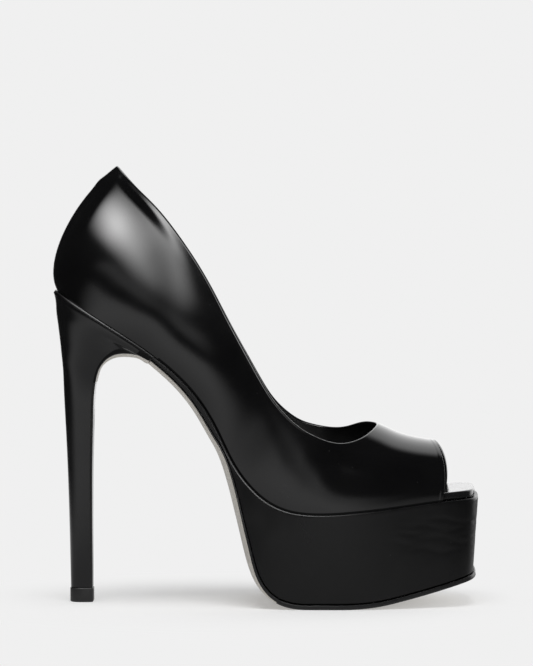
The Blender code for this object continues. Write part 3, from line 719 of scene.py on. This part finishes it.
def sidePlaces(startAlong, tracks):   # down the outer side to the toe, then back up the inner side
    halves = []
    for side in (-1.0, 1.0):
        places = np.linspace(edgePlaceAt(startAlong, side), side, 900)
        steps = [np.diff(soleRing(track, places, 0.0, 0.0), axis=0) for track in tracks]
        travel = np.max(np.linalg.norm(steps, axis=2), axis=0)
        run = np.concatenate([[0.0], np.cumsum(travel)])
        halves.append(np.interp(np.linspace(0, run[-1], tread["edgeSteps"] + 1), run, places))
    return np.concatenate([halves[0], halves[1][::-1]])


def closeBack(ring, lift, swell):   # points along the back edge, from the inner side to the outer
    share = np.linspace(0, 1, tread["capColumns"] + 1)[1:-1]
    across = ring[-1] + (ring[0] - ring[-1]) * share[:, None]
    return np.concatenate([ring, across + lift * swell(share)[:, None]])


def soft(share):
    return 1 - (2 * share - 1) ** 2


def full(share):
    return 1 - (2 * share - 1) ** 4


def capGrid(ring, sideCount, first, lift, swell):   # rungs from side to side with inner points lifted by a crown
    half = sideCount // 2
    columns = tread["capColumns"]
    outer, inner = ring[:half], ring[half:sideCount][::-1]
    share = np.linspace(0, 1, columns + 1)[1:-1]
    inside = outer[:, None] + (inner - outer)[:, None] * share[None, :, None]
    inside = (inside + lift[:, None] * swell(share)[None, :, None])[1:-1].reshape(-1, 3)
    numbers = np.zeros((half, columns + 1), dtype=int)
    numbers[:, 0], numbers[:, -1] = np.arange(half), sideCount - 1 - np.arange(half)
    numbers[1:-1, 1:-1] = np.arange(len(inside)).reshape(half - 2, -1) + first
    return inside, numbers


def soleShell(rings, topLift, underLift):   # rings from top to underside, closed at both ends
    sideCount = len(rings[0])
    lifts = [topLift[0]] + [np.zeros(3)] * (len(rings) - 2) + [underLift[0]]
    swells = [soft] * (len(rings) - 1) + [full]
    rings = [closeBack(*row) for row in zip(rings, lifts, swells)]
    count = len(rings[0])
    faces = gridFaces(np.arange(len(rings) * count).reshape(len(rings), count), closed=True)
    points = [np.concatenate(rings)]
    total = len(points[0])
    for ring, lift, swell, start in ((rings[0], topLift, soft, 0), (rings[-1], underLift, full, total - count)):
        inside, numbers = capGrid(ring, sideCount, total, lift, swell)
        numbers[:, 0] += start
        numbers[:, -1] += start
        numbers[0, 1:-1] = start + count - 1 - np.arange(tread["capColumns"] - 1)
        middle = tread["capColumns"] // 2   # at the toe the cap ends on the ring's two foremost points
        numbers[-1, 1:middle], numbers[-1, middle:-1] = numbers[-1, 0], numbers[-1, -1]
        faces += [tuple(dict.fromkeys(face)) for face in gridFaces(numbers)]
        points.append(inside)
        total += len(inside)
    return np.concatenate(points), faces


insole = {
    "thick": 3.7,
    "inside": 1.0 + 1.7 + 0.3,   # in from the platform's edge, within the upper
    "toeInset": 1.6,             # and ahead of the peep edge
    "rounding": 0.9,
    "dip": 0.5,                  # hollow of the sock under the foot
    "dipStart": (6, 40),         # it deepens over these distances from the back
    "dipEnd": (0.8, 0.92),       # and runs out over these shares of the length
    "finish": {
        "colour": (0.010, 0.010, 0.0105), "worn": (0.015, 0.015, 0.015), "ior": 1.5,
        "shiny": 0.1, "dull": 0.16, "smearScale": 45.0, "dust": 0.5,
        "grainScale": 1500.0, "pores": 0.6, "grain": 0.3, "grainDepth": 0.03,
    },
}


def buildInsole():
    places = sidePlaces(0.0, [bottomTrack])
    peep = upper["rib"]["peep"][0] / 100
    past = smoothStep(np.abs(places), peep, peep + 0.05)
    inset = insole["inside"] + (insole["toeInset"] - insole["inside"]) * past
    radius, gap, thick = insole["rounding"], last["gap"], insole["thick"]
    rings = []
    for turn in np.radians(np.linspace(90, 0, 7)):
        drop = radius * (1 - math.sin(turn))
        rings.append(soleRing(bottomTrack, places, inset + radius * (1 - math.cos(turn)), gap + thick - drop))
    rings.append(soleRing(bottomTrack, places, inset, gap + thick / 2))
    for turn in np.radians(np.linspace(0, 90, 5)):
        rise = radius * (1 - math.sin(turn))
        rings.append(soleRing(bottomTrack, places, inset + radius * (1 - math.cos(turn)), gap + rise))
    along = edge(places)[0][:len(places) // 2]
    toeEnd = 1 - smoothStep(along, *(share * lastLength for share in insole["dipEnd"]))
    dip = -insole["dip"] * smoothStep(along, *insole["dipStart"]) * toeEnd
    points, faces = soleShell(rings, bottomTrack.normal(along) * dip[:, None], np.zeros((len(along), 3)))
    finish = leatherMaterial("sockLeather", insole["finish"])
    return newPiece("wrapped_insole", points, faces, [finish], "insole")


platform = {
    "turnIn": 0.5,           # the top edge's rounding, inwards and down
    "turnDown": 1.1,
    "underInset": 1.0,
    "sideRows": 60,
    "wave": 0.6,             # the wrinkles wave up and down by this much
    "waveLength": 7.0,       # over this length, and more on a long one
    "waveGrowth": 0.5,
    # wrinkles of the wrap, placed on the outer (-1) or inner (1) side of the toe:
    # side, x and height over the floor of the middle, length, width, depth, fall over the length
    "wrinkleColumns": ("side", "x", "z", "length", "width", "depth", "fall"),
    "wrinkle": {
        "topFold": (-1, 86.0, 42.2, 22.0, 1.4, 0.13, -1.6),
        "toeHigh": (-1, 98.0, 40.6, 11.0, 1.1, 0.12, -0.8),
        "underTop": (-1, 76.0, 39.4, 18.0, 1.5, 0.10, -1.2),
        "toeFold": (-1, 92.0, 37.6, 14.0, 1.4, 0.15, 1.0),
        "sideHigh": (-1, 69.0, 36.2, 13.0, 1.2, 0.08, 0.8),
        "toeMiddle": (-1, 99.0, 34.8, 10.0, 1.2, 0.12, 0.9),
        "middle": (-1, 82.0, 33.6, 21.0, 1.8, 0.12, -1.4),
        "middleToe": (-1, 94.0, 31.2, 13.0, 1.4, 0.13, 0.6),
        "sideLow": (-1, 66.0, 31.6, 14.0, 1.5, 0.08, -0.6),
        "low": (-1, 75.0, 28.6, 17.0, 1.7, 0.09, -1.0),
        "lowToe": (-1, 89.0, 27.4, 16.0, 1.5, 0.10, 0.8),
        "innerTop": (1, 86.0, 41.0, 28.0, 1.6, 0.14, -1.6),
        "innerMiddle": (1, 90.0, 34.0, 24.0, 2.0, 0.14, -0.8),
        "innerLow": (1, 80.0, 29.0, 24.0, 2.0, 0.10, -0.6),
    },
    "finish": {
        "colour": (0.004, 0.004, 0.0043), "worn": (0.007, 0.007, 0.0073), "ior": 1.4,
        "shiny": 0.26, "dull": 0.38, "smearScale": 46.0, "dust": 0.1,
        "grainScale": 1700.0, "pores": 0.5, "grain": 0.3, "grainDepth": 0.03,
    },
}


def wrinkleDepth(points):
    depth = np.zeros(len(points))
    for row in platform["wrinkle"].values():
        fold = dict(zip(platform["wrinkleColumns"], row))
        ahead = (points[:, 0] - fold["x"]) / fold["length"]
        waveLength = platform["waveLength"] + platform["waveGrowth"] * fold["length"]
        wave = platform["wave"] * np.sin(2 * math.pi * points[:, 0] / waveLength + fold["x"] * fold["z"])
        over = (points[:, 2] - fold["z"] - fold["fall"] * ahead - wave) / fold["width"]
        on = points[:, 1] * fold["side"] > 0
        depth += np.where(on, fold["depth"] * np.exp(-(2 * ahead) ** 2 - over ** 2), 0.0)
    return depth


def buildPlatform():
    places = sidePlaces(tread["seatLength"] + tread["joint"], [bottomTrack, treadTrack])
    rings = []
    for turn in np.radians(np.linspace(90, 0, 10)):
        turnIn, turnDown = platform["turnIn"] * (1 - math.cos(turn)), platform["turnDown"] * (1 - math.sin(turn))
        rings.append(soleRing(bottomTrack, places, turnIn, -turnDown))
    sideTop = rings.pop()
    under = soleRing(treadTrack, places, platform["underInset"], 0.0)
    side = [sideTop + (under - sideTop) * share for share in np.linspace(0, 0.985, platform["sideRows"])]
    grid = np.array(side)
    index = np.arange(grid[..., 0].size).reshape(grid.shape[:2])
    flat = grid.reshape(-1, 3)
    normals = pointNormals(flat, gridFaces(index))
    if normals[flat[:, 1].argmin(), 1] > 0:
        normals = -normals
    flat = flat - normals * wrinkleDepth(flat)[:, None]
    rings += list(flat.reshape(grid.shape))
    rings.append(soleRing(treadTrack, places, platform["underInset"] + 0.7, 0.0))
    none = np.zeros((len(places) // 2, 3))
    points, faces = soleShell(rings, none, none)
    finish = leatherMaterial("platformLeather", platform["finish"])
    return newPiece("wrapped_platform", points, faces, [finish], "platform")


outsole = {
    "inset": 0.8,
    "toeInset": 0.2,
    "toeFrom": (0.94, 0.99), # shares of the length over which the inset changes
    "rounding": 0.8,
    "lip": 0.35,
    "paintTo": 2,            # rows of the lower rounding that the black edge paint covers along the arch
    "paleTo": 64.0,          # and ahead of this share of the length it covers them all
    "finish": {
        "colour": (0.012, 0.012, 0.0125), "worn": (0.018, 0.018, 0.0185), "ior": 1.42,
        "shiny": 0.3, "dull": 0.42, "smearScale": 70.0, "dust": 0.5,
        "grainScale": 2300.0, "pores": 0.3, "grain": 0.4, "grainDepth": 0.03,
    },
    "under": {
        "colour": (0.56, 0.53, 0.48), "worn": (0.50, 0.475, 0.43), "ior": 1.45,
        "shiny": 0.4, "dull": 0.55, "smearScale": 60.0, "dust": 0.2,
        "grainScale": 2000.0, "pores": 0.3, "grain": 0.4, "grainDepth": 0.03,
    },
}


edgeMaterial = leatherMaterial("soleResin", outsole["finish"])
underMaterial = leatherMaterial("soleUnderside", outsole["under"])


def buildOutsole():
    places = sidePlaces(tread["seatLength"] + tread["joint"], [bottomTrack, treadTrack])
    along = edge(places)[0]
    crown = np.clip(spline(treadTrack.along, tableColumn(tread, "tread", "crown"), along), 0, None)
    deep = last["gap"] + spline(treadTrack.along, tableColumn(tread, "tread", "thick"), along)
    atToe = smoothStep(along, *(share * lastLength for share in outsole["toeFrom"]))
    inset = outsole["inset"] + (outsole["toeInset"] - outsole["inset"]) * atToe
    lip, radius = outsole["lip"], outsole["rounding"]
    rings = []
    for turn in np.radians(np.linspace(90, 0, 5)):
        drop = lip * (1 - math.sin(turn))
        rings.append(soleRing(treadTrack, places, inset + lip * (1 - math.cos(turn)), -last["gap"] - drop))
    lipRings = len(rings)
    for turn in np.radians(np.linspace(0, 90, 8)):
        rise = radius * (1 - math.sin(turn))
        rings.append(soleRing(treadTrack, places, inset + radius * (1 - math.cos(turn)), -deep + rise))
    half = len(places) // 2
    underLift = -treadTrack.normal(along[:half]) * crown[:half, None]
    points, faces = soleShell(rings, np.zeros((half, 3)), underLift)
    points[:, 2] = np.maximum(points[:, 2], 0.0)
    row = len(places) + tread["capColumns"] - 1
    painted, rest = lipRings - 1 + outsole["paintTo"], row * (len(rings) - 1)
    topCap = (half - 1) * tread["capColumns"]
    pale = [int(spot < outsole["paleTo"] / 100 * lastLength) for spot in along] + [1] * (row - len(places))
    slots = [0] * (row * painted) + pale * (len(rings) - 1 - painted)
    slots += [0] * topCap + [1] * (len(faces) - rest - topCap)
    finish = [edgeMaterial, underMaterial]
    return newPiece("thin_outsole", points, faces, finish, "outsole", slots)


buildInsole()
buildPlatform()
buildOutsole()


# Heel and its tip

heel = {
    "turnIn": 0.35,          # the top edge's rounding, inwards and down
    "turnDown": 1.7,
    "rings": 90,
    "tongue": 108.0,         # the sole runs on over the crook down to this height
    "shadeAndEdgeInkRows": (1, 11),      # rows by the breast's edge that are made black with the edge finish
    "ledgeRows": 5,          # rows of the top edge over its painted shadow line
    "sideSteps": 40,
    "breastSteps": 10,
    "leastSlant": 0.3,
    "breastRows": (0.0, 0.25, 0.5, 0.75, 0.95, 1.1, 1.25, 1.4, 1.55, 1.7, 1.9, 2.2, 2.6),
    "seamAt": 1.4,           # seam of the cover, round from the breast's edge
    "seamWidth": 0.22,
    "seamDepth": 0.2,
    "seamFade": (108, 116),  # heights over which it runs out towards the crook
    "cornerSteps": 6,
    "heelColumns": ("backIn", "backUp", "breastIn", "breastUp", "half", "corner", "crown"),
    "heel": {
        "wing": (-0.1, 96.8, 46.3, 77.6, 24.4, 0.5, 2.0),
        "wingRoot": (0.3, 93.1, 42.2, 78.9, 22.8, 0.9, 2.1),
        "crook": (0.9, 89.8, 36.4, 79.7, 20.8, 1.2, 2.0),
        "crookBack": (1.6, 86.2, 30.5, 79.5, 18.6, 1.5, 1.8),
        "neck": (2.2, 82.9, 25.7, 78.0, 16.7, 1.7, 1.2),
        "neckLow": (2.7, 79.6, 22.5, 75.6, 15.0, 1.8, 0.4),
        "stemTop": (3.4, 75.0, 20.5, 72.4, 13.0, 1.9, 0.1),
        "stemHigh": (3.8, 69.4, 19.3, 68.2, 11.3, 1.9, 0.0),
        "stem": (4.5, 59.9, 18.6, 59.7, 9.7, 1.8, 0.0),
        "stemMid": (5.4, 47.4, 18.1, 47.4, 8.3, 1.7, 0.0),
        "stemLow": (6.4, 27.6, 17.9, 27.6, 6.9, 1.5, 0.0),
        "foot": (7.2, 4.74, 17.9, 4.74, 5.7, 1.3, 0.0),
    },
    "finish": {
        "colour": (0.006, 0.006, 0.0064), "worn": (0.009, 0.009, 0.0094), "ior": 1.47,
        "shiny": 0.14, "dull": 0.2, "smearScale": 50.0, "dust": 0.1,
        "grainScale": 1700.0, "pores": 0.5, "grain": 0.25, "grainDepth": 0.025,
    },
}
heelTip = {
    "height": 6.9,
    "proud": tipPlace["proud"],
    "lip": 0.5,
    "finish": {
        "colour": (0.014, 0.014, 0.0145), "worn": (0.022, 0.022, 0.022), "ior": 1.48,
        "shiny": 0.34, "dull": 0.48, "smearScale": 120.0, "dust": 0.3,
        "grainScale": 2600.0, "pores": 0.2, "grain": 0.35, "grainDepth": 0.02,
    },
}


def seatHalf(side):   # the seat's outline from the breast round to the back
    along, across, _, _ = edge(np.linspace(edgePlaceAt(tread["seatLength"], side), 0, 160))
    return np.stack([1 - along / tread["seatLength"], across], axis=-1)


seatHalves = [seatHalf(-1.0), seatHalf(1.0)]


def sideSpots(length, stretch):   # close together by the breast's edge, for the seam, then even
    near = np.array(heel["breastRows"]) * stretch
    return np.concatenate([near, np.linspace(near[-1], length, heel["sideSteps"] + 1)[1:]])


def spreadSide(row, depth, stretch):
    run = chordLengths(np.stack([row[:, 0] * depth, row[:, 1]], axis=-1))
    at = sideSpots(run[-1], stretch)
    seam = heel["seamDepth"] * np.exp(-((at / stretch - heel["seamAt"]) / heel["seamWidth"]) ** 2)
    return np.stack([np.interp(at, run, row[:, 0]), np.interp(at, run, row[:, 1])], axis=-1), seam


def heelRing(back, breast, half, corner, swell, stretch, seamed=True):
    depth = np.linalg.norm(back - breast)
    widest = last["outline"]["seatWide"][1] / 100 * last["ballWidth"]
    sides = []
    for side, seat in zip((-1.0, 1.0), seatHalves):
        share, wide = seat[:, 0], seat[:, 1] / widest * half
        turn = np.radians(np.linspace(90, 0, heel["cornerSteps"] + 1))
        cornerShare = corner / depth * (1 - np.sin(turn))
        cornerWide = np.interp(corner / depth, share, wide) - side * corner * (1 - np.cos(turn))
        behind = share > corner / depth
        shares = np.concatenate([cornerShare, share[behind]])
        row = np.stack([shares, np.concatenate([cornerWide, wide[behind]])], axis=-1)
        spread, seam = spreadSide(row, depth, stretch)
        if seamed:
            spread[:, 1] -= side * seam * (1 - smoothStep(breast[2], *heel["seamFade"]))
        sides.append(spread)
    outer, inner = sides[0], sides[1][::-1]
    across = np.linspace(0, 1, heel["breastSteps"] + 1)[1:-1]
    flat = np.concatenate([outer, inner, inner[-1] + (outer[0] - inner[-1]) * across[:, None]])
    spots = breast + (back - breast) * flat[:, :1]
    spots[:, 1] += flat[:, 1]
    spots[-len(across):] += swell * full(across)[:, None]
    return spots


def seatRing(inset, up, stretch):   # top edge of the heel, on the last's bottom
    halves = []
    for side in (-1.0, 1.0):
        start = edgePlaceAt(tread["seatLength"], side)
        places = np.linspace(start, 0, 400)
        run = chordLengths(soleRing(bottomTrack, places, inset, up))
        halves.append(soleRing(bottomTrack, np.interp(sideSpots(run[-1], stretch), run, places), inset, up))
    outer, inner = halves[0], halves[1][::-1]
    across = np.linspace(0, 1, heel["breastSteps"] + 1)[1:-1, None]
    return np.concatenate([outer, inner, inner[-1] + (outer[0] - inner[-1]) * across])


def fanCap(index, centre):
    return [(int(index[i]), int(index[(i + 1) % len(index)]), centre) for i in range(len(index))]


def heelSections():
    x = last["seatBack"]
    backs = np.stack([x + tableColumn(heel, "heel", "backIn"), np.zeros(len(heel["heel"])),
                      tableColumn(heel, "heel", "backUp") / 100 * last["seatHeight"]], axis=-1)
    breasts = np.stack([x + tableColumn(heel, "heel", "breastIn"), np.zeros(len(heel["heel"])),
                        tableColumn(heel, "heel", "breastUp") / 100 * last["seatHeight"]], axis=-1)
    run = np.gradient(breasts, axis=0)
    out = unit(np.stack([-run[:, 2], np.zeros(len(run)), run[:, 0]], axis=-1))
    swells = out * tableColumn(heel, "heel", "crown")[:, None]
    slant = np.abs((out * unit(backs - breasts)).sum(axis=1))   # rows by the breast's edge keep their width
    stretches = 1 / np.clip(slant, heel["leastSlant"], 1)
    return backs, breasts, tableColumn(heel, "heel", "half"), tableColumn(heel, "heel", "corner"), swells, stretches


def ringSolid(rings):
    count = len(rings[0])
    points = np.concatenate([*rings, [rings[0].mean(axis=0)], [rings[-1].mean(axis=0)]])
    faces = gridFaces(np.arange(len(rings) * count).reshape(len(rings), count), closed=True)
    faces += fanCap(np.arange(count), len(rings) * count)
    faces += fanCap(np.arange(count) + (len(rings) - 1) * count, len(rings) * count + 1)
    return points, faces


def buildHeel():
    sections = [heelRing(*section) for section in zip(*heelSections())]
    stretch = heelSections()[-1][0]
    rolled = []
    for turn in np.radians(np.linspace(90, 0, 10)):
        turnIn, turnDown = heel["turnIn"] * (1 - math.cos(turn)), heel["turnDown"] * (1 - math.sin(turn))
        rolled.append(seatRing(turnIn, -turnDown, stretch))
    knots = np.array([rolled[-1], *sections])
    run = np.concatenate([[0.0], np.cumsum(np.linalg.norm(np.diff(knots, axis=0), axis=-1).max(axis=1))])
    smooth = spline(run, knots, np.linspace(0, run[-1], heel["rings"] + 1))
    points, faces = ringSolid(rolled[:-1] + list(smooth))
    count = len(knots[0])
    breast, (inkStart, inkEnd) = count - heel["breastSteps"], heel["shadeAndEdgeInkRows"]
    slots = np.zeros(len(faces), dtype=int)
    slots[:heel["ledgeRows"] * count] = 3
    # painted shade: the rolled edge below the ledge is black, a painted shadow line along the joint
    slots[heel["ledgeRows"] * count:(len(rolled) - 1) * count] = 2
    for i in range(len(smooth) - 1):
        first = (len(rolled) - 1 + i) * count
        if smooth[i, breast:, 2].mean() > heel["tongue"]:
            slots[first + inkStart:first + inkEnd] = 2
            slots[first + breast - inkEnd:first + breast - inkStart] = 2
            slots[first + breast:first + count] = 1
    finish = [leatherMaterial("heelLeather", heel["finish"]), underMaterial, shadeAndEdgeInkMaterial, edgeMaterial]
    return newPiece("wrapped_heel", points, faces, finish, "heel", slots)


def buildHeelTip():
    backs, breasts, halves, corners, swells, stretches = heelSections()
    lip, proud = heelTip["lip"], heelTip["proud"]
    turns = np.radians(np.linspace(90, 0, 5))
    profile = [(proud - lip * (1 - math.cos(t)), heelTip["height"] - lip * (1 - math.sin(t))) for t in turns]
    profile += [(grow, heelTip["height"] - z) for grow, z in reversed(profile)]
    rings = []
    for grow, z in profile:
        step = np.array([grow, 0.0, 0.0])
        ring = heelRing(backs[-1] - step, breasts[-1] + step, halves[-1] + grow, corners[-1], swells[-1],
                        stretches[-1], seamed=False)
        ring[:, 2] = z
        rings.append(ring)
    points, faces = ringSolid(rings)
    finish = leatherMaterial("tipRubber", heelTip["finish"])
    return newPiece("heel_top_piece", points, faces, [finish], "heel_tip")


buildHeel()
buildHeelTip()


# Studio: pale floor, soft lights, camera

studio = {
    "paper": 0.871,          # brightness of the bare floor and of what the camera sees past it
    "sheet": (-0.62, 0.42, -0.58, 1.5),  # left, right, front and back of the paper, which the shoe mirrors
    "leftFade": (-0.55, -0.22),          # it dims towards its left
    "rightFade": (0.32, 0.04),           # and its right
    "corner": 0.25,
    "cornerSteps": 12,
    "lit": (0.1, 0.33),      # past these distances from the shoe the floor is plain
    "litSpread": (2.0, 2.6, 1.0),   # they shrink so many times along and across the shoe
    "glow": 0.25,            # share of the floor's brightness that shadows don't touch
    "ambient": 0.36,         # even light on it from all round
    "near": (0.12, 0.42),    # mirrored, the floor is dimmer up to these distances
    "nearShare": 0.5,
    "albedo": 0.8,
    "tooth": {"scale": 300.0, "strength": 0.1, "depth": 0.02},   # fine roughness of the paper
    "front": 0.01,           # dim room before the shoe
    "band": 0.6,             # paler strip of it just under the horizon
    "bandHeights": (-0.125, -0.085, -0.02, 0.015),
    "bandEnds": (0.12, 0.5),
    "bandStart": (-0.55, -0.05),
    "back": 1.42,            # pale wall behind
    "backTurn": (0.17, 0.5),
    "backEnd": (-0.34, -0.14),
    "backRight": (0.95, 0.7),
    "lamps": {
        "top": {"at": (0.05, -0.42, 1.5), "aim": (0.0, 0.0, 0.0), "roll": 0.0, "size": (0.9, 0.9),
                "power": 11.9, "mirrored": False},
        "softbox": {"at": (-0.0934, -0.16, 0.26), "aim": (-0.1034, -0.024, 0.05), "roll": -51.4,
                    "size": (0.516, 0.178), "power": 5.3, "mirrored": True},
    },
    # from each edge the softbox brightens over this much of its width or height
    "softEdges": (("X", 0.0, 0.6), ("X", 1.0, 0.46), ("Y", 0.0, 0.74), ("Y", 1.0, 0.51)),
}


def softStep(tree, value, start, end):
    return addNode(tree, "ShaderNodeMapRange", {"Value": value, "From Min": start, "From Max": end},
                   interpolation_type="SMOOTHSTEP").outputs["Result"]


def buildFloor():
    left, right, front, back = studio["sheet"]
    radius = studio["corner"]
    points = []
    for quarter, (x, y) in enumerate(((right, back), (left, back), (left, front), (right, front))):
        for turn in np.radians(np.linspace(0, 90, studio["cornerSteps"] + 1) + 90 * quarter):
            centre = (x - radius if x > 0 else x + radius, y - radius if y > 0 else y + radius)
            points.append((centre[0] + radius * math.cos(turn), centre[1] + radius * math.sin(turn), 0.0))
    mesh = bpy.data.meshes.new("paperFloor")
    mesh.from_pydata(points, [], [list(range(len(points)))])
    floor = bpy.data.objects.new("paperFloor", mesh)
    bpy.context.scene.collection.objects.link(floor)
    material = bpy.data.materials.new("palePaper")
    material.use_nodes = True
    tree = material.node_tree
    tree.nodes.clear()
    where = tree.nodes.new("ShaderNodeTexCoord").outputs["Object"]
    away = addNode(tree, "ShaderNodeVectorMath", {0: where}, operation="LENGTH").outputs["Value"]
    spread = addNode(tree, "ShaderNodeVectorMath", {0: where, 1: studio["litSpread"]}, operation="MULTIPLY")
    spread = addNode(tree, "ShaderNodeVectorMath", {0: spread.outputs["Vector"]}, operation="LENGTH")
    spread = spread.outputs["Value"]
    rough = studio["tooth"]
    tooth = addNode(tree, "ShaderNodeTexNoise", {"Vector": where, "Scale": rough["scale"], "Detail": 4.0})
    bump = addNode(tree, "ShaderNodeBump", {
        "Height": tooth.outputs["Fac"], "Strength": rough["strength"], "Distance": rough["depth"] * mm,
    })
    matt = addNode(tree, "ShaderNodeBsdfDiffuse", {
        "Color": (studio["albedo"],) * 3 + (1,), "Normal": bump.outputs["Normal"],
    })
    glow = addNode(tree, "ShaderNodeEmission", {"Strength": studio["paper"] * studio["glow"]})
    lit = addNode(tree, "ShaderNodeAddShader", {0: matt.outputs[0], 1: glow.outputs[0]})
    plain = addNode(tree, "ShaderNodeEmission", {"Strength": studio["paper"]})
    mix = addNode(tree, "ShaderNodeMixShader", {
        "Fac": softStep(tree, spread, *studio["lit"]), 1: lit.outputs[0], 2: plain.outputs[0],
    })
    ray = tree.nodes.new("ShaderNodeLightPath")   # mirrored, the sheet dims to both sides and near the shoe
    spotX = addNode(tree, "ShaderNodeSeparateXYZ", {"Vector": where}).outputs["X"]
    ends = maths(tree, "MULTIPLY", softStep(tree, spotX, *studio["leftFade"]),
                 softStep(tree, spotX, *studio["rightFade"]))
    near = maths(tree, "MULTIPLY", softStep(tree, away, *studio["near"]), 1 - studio["nearShare"])
    dim = maths(tree, "MULTIPLY", ends, maths(tree, "ADD", near, studio["nearShare"]))
    dim = addNode(tree, "ShaderNodeEmission", {"Strength": maths(tree, "MULTIPLY", dim, studio["paper"])})
    seen = addNode(tree, "ShaderNodeMixShader", {
        "Fac": ray.outputs["Is Glossy Ray"], 1: mix.outputs[0], 2: dim.outputs[0],
    })
    addNode(tree, "ShaderNodeOutputMaterial", {"Surface": seen.outputs[0]})
    mesh.materials.append(material)


def buildWorld():
    world = bpy.data.worlds.new("studio")
    bpy.context.scene.world = world
    world.use_nodes = True
    tree = world.node_tree
    tree.nodes.clear()
    direction = tree.nodes.new("ShaderNodeTexCoord").outputs["Generated"]
    parts = addNode(tree, "ShaderNodeSeparateXYZ", {"Vector": direction}).outputs
    lowest, low, high, highest = studio["bandHeights"]
    band = maths(tree, "MULTIPLY", softStep(tree, parts["Z"], lowest, low),
                 softStep(tree, parts["Z"], highest, high))
    ends = maths(tree, "MULTIPLY", softStep(tree, parts["X"], *reversed(studio["bandEnds"])),
                 softStep(tree, parts["X"], *studio["bandStart"]))
    band = maths(tree, "MULTIPLY", band, ends)
    band = maths(tree, "MULTIPLY", band, maths(tree, "LESS_THAN", parts["Y"], 0.0))
    wall = maths(tree, "MULTIPLY", softStep(tree, parts["Y"], *studio["backTurn"]),
                 softStep(tree, parts["X"], *studio["backEnd"]))
    wall = maths(tree, "MULTIPLY", wall, softStep(tree, parts["X"], *studio["backRight"]))
    total = maths(tree, "ADD", maths(tree, "MULTIPLY", band, studio["band"]),
                  maths(tree, "MULTIPLY", wall, studio["back"]))
    room = addNode(tree, "ShaderNodeBackground", {"Strength": maths(tree, "ADD", total, studio["front"])})
    room.inputs["Color"].default_value = (1, 1, 1, 1)
    plain = addNode(tree, "ShaderNodeBackground", {"Color": (1, 1, 1, 1), "Strength": studio["paper"]})
    even = addNode(tree, "ShaderNodeBackground", {"Color": (1, 1, 1, 1), "Strength": studio["ambient"]})
    ray = tree.nodes.new("ShaderNodeLightPath")
    lighting = addNode(tree, "ShaderNodeMixShader", {
        "Fac": ray.outputs["Is Diffuse Ray"], 1: room.outputs[0], 2: even.outputs[0],
    })
    mix = addNode(tree, "ShaderNodeMixShader", {
        "Fac": ray.outputs["Is Camera Ray"], 1: lighting.outputs[0], 2: plain.outputs[0],
    })
    addNode(tree, "ShaderNodeOutputWorld", {"Surface": mix.outputs[0]})


def aimed(obj, at, aim, roll=0.0):
    obj.location = at
    turn = (Vector(aim) - Vector(at)).to_track_quat("-Z", "Y") @ Quaternion((0, 0, 1), math.radians(roll))
    obj.rotation_euler = turn.to_euler()
    bpy.context.scene.collection.objects.link(obj)
    return obj


def buildLights():
    for name, row in studio["lamps"].items():
        lamp = bpy.data.lights.new(name, "AREA")
        lamp.shape = "RECTANGLE"
        lamp.size, lamp.size_y = row["size"]
        lamp.energy = row["power"]
        holder = aimed(bpy.data.objects.new(name, lamp), row["at"], row["aim"], row["roll"])
        holder.visible_camera = False
        holder.visible_glossy = row["mirrored"]
        holder.visible_diffuse = not row["mirrored"]
    lamp.use_nodes = True   # the softbox fades towards its edges
    tree = lamp.node_tree
    panel = tree.nodes.new("ShaderNodeNewGeometry").outputs["Parametric"]
    spot = addNode(tree, "ShaderNodeSeparateXYZ", {"Vector": panel})
    fade = 1.0
    for axis, start, end in studio["softEdges"]:
        fade = maths(tree, "MULTIPLY", fade, softStep(tree, spot.outputs[axis], start, end))
    tree.links.new(fade, tree.nodes["Emission"].inputs["Strength"])


camera = {
    "distance": 1.5,
    "height": 0.18,
    "aimHeight": 0.1307,     # height in the middle of the picture
    "scale": 0.486 * mm,     # metres a pixel at the shoe's middle plane
    "picture": (533, 666),
}


def buildCamera():
    view = bpy.data.cameras.new("camera")
    tall = camera["picture"][1] * camera["scale"]
    view.lens = view.sensor_width * camera["distance"] / tall
    aim = (0.0, 0.0, camera["aimHeight"])
    bpy.context.scene.camera = aimed(
        bpy.data.objects.new("camera", view), (0.0, -camera["distance"], camera["height"]), aim)


buildFloor()
buildWorld()
buildLights()
buildCamera()
bpy.context.scene.view_settings.view_transform = "Standard"
print("studio ready")
